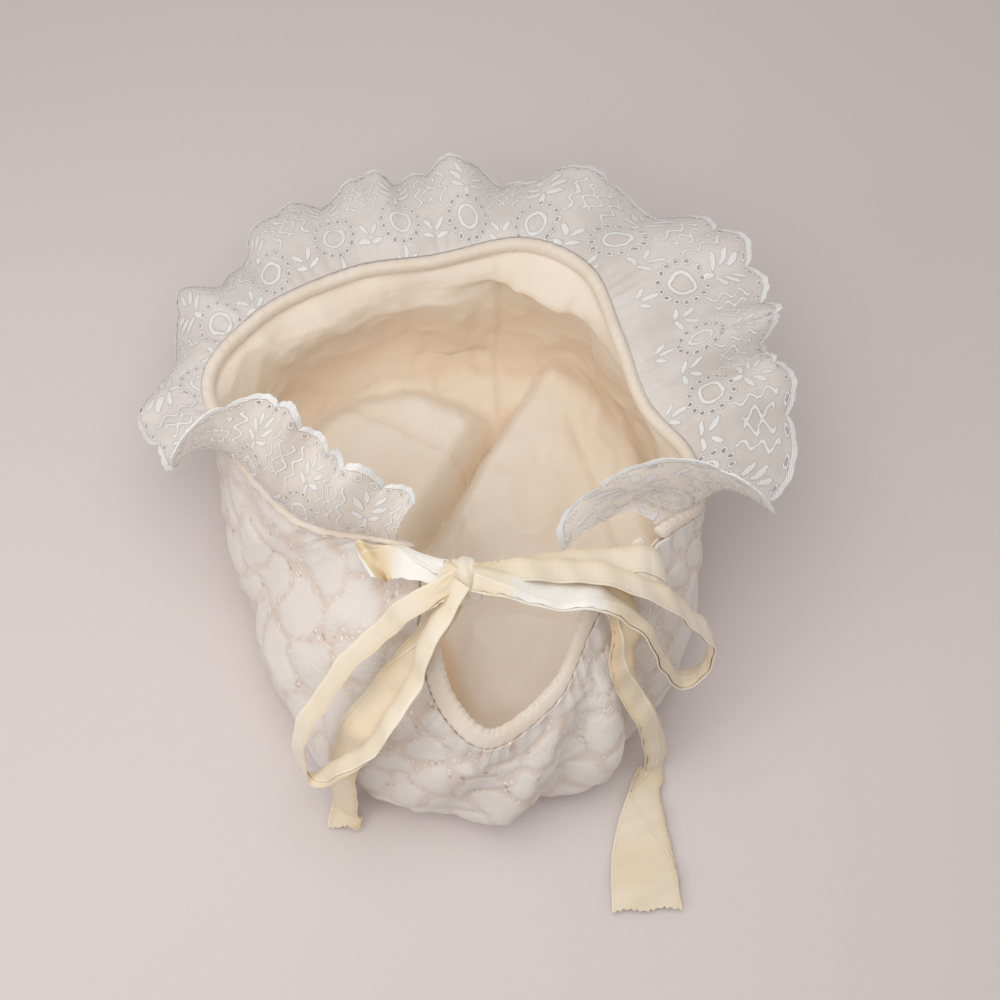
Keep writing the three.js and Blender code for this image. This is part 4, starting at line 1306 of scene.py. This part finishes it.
@dataclass
class Bindings:
    """The cord in the front edge and the band round the neck."""

    form: BodyForm
    finish: bpy.types.Material
    piping_diameter: float = 3.4
    band_width: float = 5.4
    band_thickness: float = 3.0
    corner_margin: float = 2.2
    stand: float = 0.06
    cloth: float = 0.4
    # Depth of the small puckers, and how much deeper they are at the left corner, as shares.
    pucker: float = 0.05
    corner_pucker: float = 0.12

    def span(self) -> float:
        """The corner margin in places."""
        front = (self.form.rim[CHIN_LEFT + 1] - self.form.rim[CHIN_LEFT])[:2]
        return self.corner_margin / float(np.linalg.norm(front))

    def front(self) -> tuple[float, float]:
        """First and last place of the front cord."""
        return CHIN_LEFT + self.span(), CHIN_RIGHT - self.span()

    def neck(self) -> tuple[float, float]:
        """First and last place of the neck band."""
        return CHIN_RIGHT + 2 * self.span() - COUNT, CHIN_LEFT - 2 * self.span()

    def tube(self, strip: Strip) -> Surface:
        """The surface of a padded strip over the rim."""
        first, last = strip.ends
        long = abs(last - first) * PLACE_LENGTH

        def surface(along: np.ndarray, across: np.ndarray) -> Shaped:
            """Points round and along the strip."""
            place = first + (last - first) * along
            at = self.form.rim_frame(place)
            centre = at["middle"] + (strip.wide / 2 + self.stand) * at["up"]
            up, aside = np.cos(2 * np.pi * across), np.sin(2 * np.pi * across)
            end = np.minimum(along, 1 - along) * long
            round_off = np.sqrt(np.clip(1 - (1 - np.clip(end / (strip.thick / 2), 0, 1)) ** 2, 0, 1))
            corner = nearness(place - CHIN_LEFT - 0.8, 0.6)
            pucker = (self.pucker + self.corner_pucker * corner) * up
            wave = 1 + pucker * np.sin(place * 43 + 1.7 * np.sin(place * 9)) + 0.1 * corner
            # The side that lies on the cloth is squarer than the top.
            foot = np.where(up < 0, 0.5, 1.0)
            high = np.sign(up) * np.abs(up) ** foot
            high = (high * strip.wide / 2 * wave * round_off)[:, None]
            side = np.sign(aside) * np.abs(aside) ** foot
            side = (side * strip.thick / 2 * wave * round_off)[:, None]
            flat = np.stack([along * long, across * (strip.wide + strip.thick) * 1.6], axis=1)
            return Shaped(centre + high * at["up"] + side * at["through"], flat, {})

        return surface

    def build(self) -> list[bpy.types.Object]:
        """Makes both strips."""
        around, wide, thick = self.piping_diameter, self.band_width, self.band_thickness
        made = []
        for strip in (
            Strip("front_cord", "front_piping", self.front(), around, around, 620, (0.28, 0.0105)),
            Strip("neck_binding", "neck_band", self.neck(), wide, thick, 300, (0.1, 0.0125)),
        ):
            piece = bent_grid(strip.name, strip.steps, 20, self.tube(strip))
            close_joins(piece, None)
            face_outwards(piece)
            thicken(piece, self.cloth, -1)
            dress(piece, self.finish, strip.node)
            made.append(piece)
            log.info("%s: area %.5f", strip.name, area_of(piece) / 2)
        return made


@dataclass
class Frill:
    """The gathered lace round the face, curled in at both chin corners."""

    form: BodyForm
    bindings: Bindings
    finish: bpy.types.Material
    depth: float = 39.0
    stand: float = 0.12
    heading_spread: float = 0.6
    turned_by: float = 0.4
    flute_count: int = 13
    flute_depth: float = 4.2
    scallop_count: int = 34
    scallop_depth: float = 3.2
    loop_depth: float = 0.45
    ripple_count: int = 31
    ripple_depth: float = 0.8
    gather_count: int = 83
    gather_depth: float = 0.5
    # The lace's flat size in metres, and the share of it that the scallops leave.
    flat: tuple[float, float] = (0.47, 0.036)
    filled: float = 0.86

    def __post_init__(self) -> None:
        """Measures the seam."""
        span = self.bindings.span()
        self.first = CHIN_LEFT + 3.2 * span
        self.last = CHIN_RIGHT - 1.9 * span
        self.shares = np.linspace(0, 1, 601)
        middle = self.form.rim_frame(self.first + (self.last - self.first) * self.shares)["middle"]
        steps = np.linalg.norm(np.diff(middle, axis=0), axis=1)
        self.length = float(steps.sum())
        self.run = np.concatenate([[0], np.cumsum(steps)]) / self.length
        self.leans = np.array([[r.along, r.seam, r.edge, r.reach, r.turn] for r in LEANS])

    def lean_at(self, share: np.ndarray) -> np.ndarray:
        """Seam lean, edge lean, reach and turn at shares along the seam."""
        index = np.interp(share, self.leans[:, 0], np.arange(len(self.leans)))
        return through(self.leans[:, 1:], index, False)

    def points(self, share: np.ndarray, across: np.ndarray) -> tuple[np.ndarray, np.ndarray]:
        """Points of the lace and their distance from the free edge, both in mm."""
        place = self.first + (self.last - self.first) * np.interp(share, self.run, self.shares)
        at = self.form.rim_frame(place)
        out = sum(self.form.rim_frame(place + d * self.heading_spread)["out"] for d in (-1, 0, 1))
        out = unit(out)
        root, edge, reach, turn = (self.lean_at(share)[:, k] for k in range(4))
        notch = 1 - np.abs(np.sin(np.pi * self.scallop_count * share)) ** 0.8
        loop = 1 - np.abs(np.sin(4 * np.pi * self.scallop_count * share))
        long = reach * self.depth - self.scallop_depth * notch * across**3
        long = long - self.loop_depth * loop * across**8

        def heading(w: np.ndarray, more: float) -> np.ndarray:
            """The way of the cloth at a share of its depth, and so many degrees further."""
            angle = np.radians(root + (edge - root) * w**0.8 + more)
            way = np.radians(turn) * np.minimum(1, w / self.turned_by)
            x = (out[:, 0] * np.cos(way) - out[:, 1] * np.sin(way)) * np.cos(angle)
            y = (out[:, 0] * np.sin(way) + out[:, 1] * np.cos(way)) * np.cos(angle)
            return np.stack([x, y, np.sin(angle)], axis=1)

        half = self.bindings.piping_diameter / 2
        point = at["middle"] + (half + self.form.layer_gap) * at["up"]
        point = point + (half + self.stand) * heading(np.zeros_like(share), 0)
        pieces = 10
        for k in range(pieces):
            point = point + heading(((k + 0.5) / pieces) * across, 0) * (long * across / pieces)[:, None]
        beat = share + 0.006 * np.sin(14 * share) + 0.004 * np.sin(37 * share + 1)
        flute = self.waves(self.flute_count, beat) * self.flute_depth * (0.75 + 0.25 * np.sin(23 * share))
        flute = flute * np.minimum(1, across * 1.15) ** 1.3
        ends = np.minimum(1, np.minimum(share, 1 - share) / 0.03)
        ripple = self.ripple_depth * self.waves(self.ripple_count, share + 0.006 * np.sin(51 * share))
        ripple = ripple * across**0.8
        gather = self.gather_depth * self.waves(self.gather_count, share + 0.003 * np.sin(80 * share))
        gather = gather * np.exp(-across * 5.5) * (0.6 + 0.4 * np.sin(63 * share))
        lift = flute + ends * (ripple + gather * smooth(across, 0.0, 0.06))
        return point + heading(across, 90) * lift[:, None], long * (1 - across)

    def waves(self, count: int, share: np.ndarray) -> np.ndarray:
        """So many waves along the seam, from -1 to 1."""
        return np.sin(2 * np.pi * count * share)

    def surface(self, along: np.ndarray, across: np.ndarray) -> Shaped:
        """The lace over its grid."""
        point, deep = self.points(along, across)
        point = point + (ruffle(point, 11.0, 21) * 1.2 * across)[:, None] * UP
        flat = np.stack([along * self.scallop_count, deep], axis=1)
        return Shaped(point, flat, {})

    def build(self) -> bpy.types.Object:
        """Makes the lace."""
        piece = bent_grid("face_lace", 1020, 42, self.surface)
        close_joins(piece, None)
        thicken(piece, 0.3, 0)
        dress(piece, self.finish, "lace_frill")
        log.info("lace seam %.1f mm, area %.5f", self.length, area_of(piece) / 2)
        return piece


@dataclass
class Bow:
    """The knot with its two straps, two loops and two tails."""

    form: BodyForm
    finish: bpy.types.Material
    below: list[bpy.types.Object]
    ribbon_width: float = 18.0
    wall: float = 0.22
    stand: float = 0.9
    knot_size: tuple[float, float, float] = (7.4, 11.0, 7.4)
    knot_turn: float = 12.0
    # The folded section: spacing of its layers and how far each layer bulges, in mm.
    spacing: float = 0.3
    crown: float = 0.25
    more_crown: float = 0.12
    fold_reach: float = 1.6

    def __post_init__(self) -> None:
        """Places the knot between the chin corners."""
        corners = self.form.rim_frame(np.array([CHIN_LEFT, CHIN_RIGHT], dtype=float))["middle"]
        self.knot = corners[0] + (corners[1] - corners[0]) * 0.23
        self.knot[1] -= 10.0
        self.knot[2] = self.form.half[2] + 5.2

    def trees(self) -> list[BVHTree]:
        """What lies below so far, for measuring heights."""
        graph = bpy.context.evaluated_depsgraph_get()
        return [BVHTree.FromObject(o, graph) for o in self.below]

    def rise(self, trees: list[BVHTree], point: np.ndarray) -> float:
        """How far a point must rise to clear what is below it, in mm."""
        high = 0.0
        slope = 1.0
        for tree in trees:
            start = Vector((point[0] * MM, point[1] * MM, 0.5))
            hit, normal, _, _ = tree.ray_cast(start, Vector((0, 0, -1)))
            if hit is not None and hit.z / MM > high:
                high = hit.z / MM
                slope = max(abs(normal.z), 0.45)
        return high + self.stand / slope - point[2]

    def stations(self, name: str) -> tuple[np.ndarray, np.ndarray, np.ndarray]:
        """A tie's path, its way across and its spread, at even steps."""
        lay = LAYS[name]
        rows = np.array([[r.ahead, r.aside, r.lift, r.tilt, r.spread] for r in TIES[name]])
        height = self.form.half[2]
        rows[0, :3] = lay.from_knot / lay.reach, rows[0, 1] * 0.5, self.knot[2] / height
        if lay.to_knot:
            rows[-1, :3] = lay.to_knot / lay.reach, rows[-1, 1] * 0.5, (self.knot[2] - 1.5) / height
        at = through(rows, np.linspace(0, len(rows) - 1, lay.steps + 1), False)
        angle = math.radians(lay.heading)
        ahead = np.array([math.cos(angle), math.sin(angle), 0.0])
        aside = np.cross(UP, ahead)
        path = np.outer(at[:, 0] * lay.reach, ahead) + np.outer(at[:, 1] * lay.reach, aside)
        path = path + np.array([self.knot[0], self.knot[1], 0.0])
        path[:, 2] = at[:, 2] * height
        tilt = np.radians(at[:, 3])
        across = np.outer(np.cos(tilt), aside) + np.outer(np.sin(tilt), UP)
        return path, across, at[:, 4]

    def frames(self, path: np.ndarray, across: np.ndarray) -> tuple[np.ndarray, np.ndarray]:
        """The ribbon's way across and its facing, square to the path."""
        heading = unit(np.gradient(path, axis=0))
        side = unit(across - (across * heading).sum(axis=1)[:, None] * heading)
        return side, np.cross(side, heading)

    def raised(self, name: str) -> tuple[np.ndarray, np.ndarray, np.ndarray]:
        """A tie's path clear of what it lies on."""
        path, across, spread = self.stations(name)
        trees = self.trees()
        side, _ = self.frames(path, across)
        needs = np.zeros(len(path))
        for i, point in enumerate(path):
            half = side[i] * spread[i] * self.ribbon_width / 2
            needs[i] = max(0.0, *(self.rise(trees, point + t * half) for t in (-1, -0.5, 0, 0.5, 1)))
        reach = max(3, len(path) // 14)
        most = np.array([needs[max(i - reach, 0) : i + reach + 1].max() for i in range(len(path))])
        kernel = np.hanning(2 * reach + 3)[1:-1]
        padded = np.pad(most, reach, mode="edge")
        rises = np.convolve(padded, kernel / kernel.sum(), mode="valid")
        path = path + rises[:, None] * UP
        toward = np.array([self.knot[0], self.knot[1], 0.0]) - path
        toward[:, 2] = 0
        near = nearness(np.linalg.norm(toward[:, :2], axis=1), 9.0) * (np.arange(len(path)) < reach * 2)
        return path, across, np.clip(spread - 0.06 * near, 0.3, 1.0)

    def section(self, share: np.ndarray, spread: np.ndarray) -> tuple[np.ndarray, np.ndarray, np.ndarray]:
        """The ribbon's folded section.

        Args:
            share: 0 to 1 across the cloth.
            spread: Width left unfolded, as a share.

        Returns:
            Offset across and height, both in mm, and how near the crease is.
        """
        width = self.ribbon_width
        run = share * width
        panel = spread * width
        leaf = np.floor(run / panel)
        into = run - leaf * panel
        x = np.where(leaf % 2 == 0, into, panel - into) - panel / 2
        turn = self.fold_reach
        to_fold = np.minimum(np.abs(run - panel), np.abs(run - 2 * panel))
        layer = smooth(run - panel, -turn, turn) + smooth(run - 2 * panel, -turn, turn)
        crown = (1 - (x / (panel / 2)) ** 2) * (self.crown + self.more_crown * leaf)
        inset = 0.35 * nearness(to_fold, turn * 0.6) * np.sign(x)
        return x - inset, layer * self.spacing + crown, nearness(to_fold, 1.4)

    def tie_surface(self, name: str) -> Surface:
        """The surface of one tie."""
        path, across, spread = self.raised(name)
        side, face = self.frames(path, across)
        heading = np.cross(face, side)
        if name.startswith(("tail", "strap")):
            face = face * np.sign(np.where(face[:, 2] < 0, -1.0, 1.0).mean() + 1e-9)
        lengths = np.concatenate([[0], np.cumsum(np.linalg.norm(np.diff(path, axis=0), axis=1))])
        steps = len(path) - 1
        phase = float(sum(map(ord, name)) % 17)

        def surface(along: np.ndarray, share: np.ndarray) -> Shaped:
            """Points along and across the tie."""
            i = np.rint(along * steps).astype(int)
            length = lengths[i]
            offset, height, crease = self.section(share, spread[i])
            sway = 0.35 * np.sin(length * 0.33 + phase)
            sway = sway + 0.22 * np.sin(length * 0.71 + offset * 0.4 + phase)
            pinch = nearness(length, 7.0)
            height = height + sway * (1 - pinch) + pinch * 0.5 * np.sin(share * 22 + phase)
            point = path[i] + offset[:, None] * side[i] + height[:, None] * face[i]
            point = point + self.end_cut(name, along, share, offset)[:, None] * heading[i]
            flat = np.stack([length, share * self.ribbon_width], axis=1)
            # Painted shade: darker, yellower satin in the folds, where the ribbon is gathered at the knot
            # and along the tails; none under a painted highlight.
            shade = np.clip(0.5 * crease + 0.3 * pinch + self.painted_shade_along(name, length), 0, 1)
            painted_highlight = self.painted_highlight(name, length, offset)
            return Shaped(point, flat, {"shade": shade * (1 - painted_highlight), "painted_highlight": painted_highlight})

        return surface

    def painted_shade_along(self, name: str, length: np.ndarray) -> np.ndarray:
        """Painted shade along a tie: darker and yellower at the left strap's crumpled end, over the whole
        right tail and most at its narrow part, and on the left tail past its first stretch.
        """
        if name == "strap_left":
            return 0.9 * smooth(length, 17, 21)
        if name == "tail_right":
            return 0.2 + 0.35 * smooth(length, 14, 22) * (1 - smooth(length, 52, 66))
        if name == "tail_left":
            return 0.25 * smooth(length, 10, 20)
        return np.zeros_like(length)

    def end_cut(self, name: str, along: np.ndarray, share: np.ndarray, offset: np.ndarray) -> np.ndarray:
        """How far the far end runs on, in mm: cut slantwise on the left strap, frayed on the tails."""
        if name == "strap_left":
            return -0.9 * offset * smooth(along, 0.45, 1.0)
        if name.startswith("tail"):
            frayed = 0.35 * np.sin(share * 67) + 0.3 * np.sin(share * 151 + 1.0)
            return frayed * smooth(along, 0.985, 1.0)
        return np.zeros_like(along)

    def painted_highlight(self, name: str, length: np.ndarray, offset: np.ndarray) -> np.ndarray:
        """Where a painted highlight lies: the left strap's cut end and its first stretch, and a stretch of
        the right loop.
        """
        if name == "strap_left":
            hem = smooth(length, length.max() - 0.9, length.max() - 0.5)
            return np.maximum(hem, smooth(length, 2, 5) * (1 - smooth(length, 14, 19)))
        if name == "loop_right":
            last = length.max()
            return smooth(length, last - 34, last - 28) * (1 - smooth(length, last - 12, last - 6))
        return np.zeros_like(length)

    def build_tie(self, name: str) -> bpy.types.Object:
        """Makes one tie."""
        piece = bent_grid(f"satin_{name}", LAYS[name].steps, 26, self.tie_surface(name))
        close_joins(piece, None)
        thicken(piece, self.wall, 0)
        dress(piece, self.finish, name)
        return piece

    def build_knot(self) -> bpy.types.Object:
        """Makes the wrapped knot."""
        deselect()
        bpy.ops.mesh.primitive_uv_sphere_add(segments=96, ring_count=64, radius=0.5)
        piece = bpy.context.active_object
        piece.name = "satin_knot"
        mesh = piece.data
        co = np.empty(len(mesh.vertices) * 3)
        mesh.vertices.foreach_get("co", co)
        co = co.reshape(-1, 3)[:, [2, 0, 1]]
        length, width, height = self.knot_size
        angle = np.arctan2(co[:, 2], co[:, 1])
        along = co[:, 0] * 2
        wrap = along + 0.9 * np.sin(angle + 0.6)
        full = np.maximum(1e-3, 1 - np.abs(along) ** 4) ** 0.4 * 0.5
        folds = 1 + 0.07 * np.sin(along * 8.5 + 1.2 * np.sin(angle)) * full
        lap = 1 + 0.1 * smooth(wrap, -0.15, 0.15)
        ring = np.stack([np.cos(angle), np.sin(angle)], axis=1) * (full * folds * lap)[:, None]
        shaped = np.stack([co[:, 0] * length, ring[:, 0] * width, ring[:, 1] * height], axis=1)
        turn = math.radians(self.knot_turn)
        x = shaped[:, 0] * math.cos(turn) - shaped[:, 1] * math.sin(turn)
        y = shaped[:, 0] * math.sin(turn) + shaped[:, 1] * math.cos(turn)
        points = np.stack([x, y, shaped[:, 2]], axis=1) + self.knot
        mesh.vertices.foreach_set("co", (points * MM).ravel())
        # Painted shade along the wrap's lapped edge, and a painted highlight over one half of the knot.
        keep_values(mesh, {"shade": 0.6 * nearness(wrap, 0.14), "painted_highlight": 0.5 * smooth(along, 0.0, 0.3)})
        mesh.update()
        bpy.ops.object.shade_smooth()
        dress(piece, self.finish, "bow_knot")
        return piece

    def build(self) -> list[bpy.types.Object]:
        """Makes the ties from the lowest to the highest, then the knot."""
        made = []
        for name in ("tail_left", "tail_right", "strap_left", "strap_right", "loop_left", "loop_right"):
            piece = self.build_tie(name)
            made.append(piece)
            if name not in ("tail_left", "strap_left", "loop_left"):
                self.below.extend(made[-2:])
        made.append(self.build_knot())
        return made


@dataclass(frozen=True)
class Lamp:
    """A soft lamp: its place and size in metres, its power in watts and its colour."""

    name: str
    place: tuple[float, float, float]
    size: float
    power: float
    colour: tuple[float, float, float]


LAMPS = (
    Lamp("key", (-0.03, -0.04, 0.34), 0.3, 0.5, (1.0, 0.985, 0.96)),
    Lamp("fill", (-0.3, -0.2, 0.26), 0.2, 0.29, (1.0, 0.98, 0.965)),
)


@dataclass
class Studio:
    """Camera, light and floor."""

    target: tuple[float, float, float] = (0.0108, 0.0187, 0.0)
    elevation: float = 65.0
    distance: float = 0.43
    span: float = 0.283
    sensor: float = 36.0
    sky_colour: tuple[float, float, float, float] = (1.0, 0.985, 0.98, 1)
    sky_strength: float = 0.48
    floor_size: float = 4.0
    floor_height: float = -0.0003

    def build(self, floor_finish: bpy.types.Material) -> None:
        """Sets up the camera, the lights, the world and the floor."""
        lift = math.radians(self.elevation)
        place = Vector(self.target) + self.distance * Vector((0, -math.cos(lift), math.sin(lift)))
        deselect()
        bpy.ops.object.camera_add(location=place)
        camera = bpy.context.active_object
        camera.rotation_euler = (math.pi / 2 - lift, 0, 0)
        camera.data.sensor_width = self.sensor
        camera.data.lens = self.sensor * self.distance / self.span
        camera.data.clip_start = 0.01
        bpy.context.scene.camera = camera
        for lamp in LAMPS:
            self.add_lamp(lamp)
        world = bpy.data.worlds.new("studio")
        bpy.context.scene.world = world
        world.use_nodes = True
        sky = world.node_tree.nodes["Background"]
        sky.inputs["Color"].default_value = self.sky_colour
        sky.inputs["Strength"].default_value = self.sky_strength
        bpy.context.scene.view_settings.view_transform = "Standard"
        deselect()
        bpy.ops.mesh.primitive_grid_add(x_subdivisions=8, y_subdivisions=8, size=self.floor_size)
        floor = bpy.context.active_object
        floor.name = "floor"
        for vertex in floor.data.vertices:
            vertex.co.z = self.floor_height
        floor.data.materials.append(floor_finish)

    def add_lamp(self, lamp: Lamp) -> None:
        """Adds a soft lamp that looks at the bonnet."""
        deselect()
        bpy.ops.object.light_add(type="AREA", location=lamp.place)
        light = bpy.context.active_object
        light.name = lamp.name
        light.data.size = lamp.size
        light.data.energy = lamp.power
        light.data.color = lamp.colour
        light.visible_camera = False
        way = Vector((0.0, 0.0, 0.02)) - Vector(lamp.place)
        light.rotation_euler = way.to_track_quat("-Z", "Y").to_euler()


def main() -> None:
    """Builds the bonnet piece by piece."""
    logging.basicConfig(level=logging.INFO, format="%(name)s: %(message)s")
    shared = SharedEffects()
    Studio().build(PaleFloor("floor_cloth", 0.95, 0.1, shared).build())
    form = BodyForm()
    shell_finish = EmbroideredShell("embroidered_cotton", 0.85, 0.25, shared).build()
    lining_finish = LiningCloth("cream_lining", 0.8, 0.3, shared).build()
    binding_finish = BindingCloth("cream_binding", 0.75, 0.3, shared).build()
    lace_finish = EyeletLace("sheer_lace", 0.75, 0.2, shared).build()
    satin_finish = SatinRibbon("cream_satin", 0.42, 0.2, shared).build()
    body = Body(form, shell_finish, lining_finish).build()
    log.info("body done")
    bindings = Bindings(form, binding_finish)
    edges = bindings.build()
    log.info("edges done")
    Frill(form, bindings, lace_finish).build()
    log.info("lace done")
    Bow(form, satin_finish, [*body, *edges]).build()
    log.info("bow done")


if __name__ == "__main__":
    main()
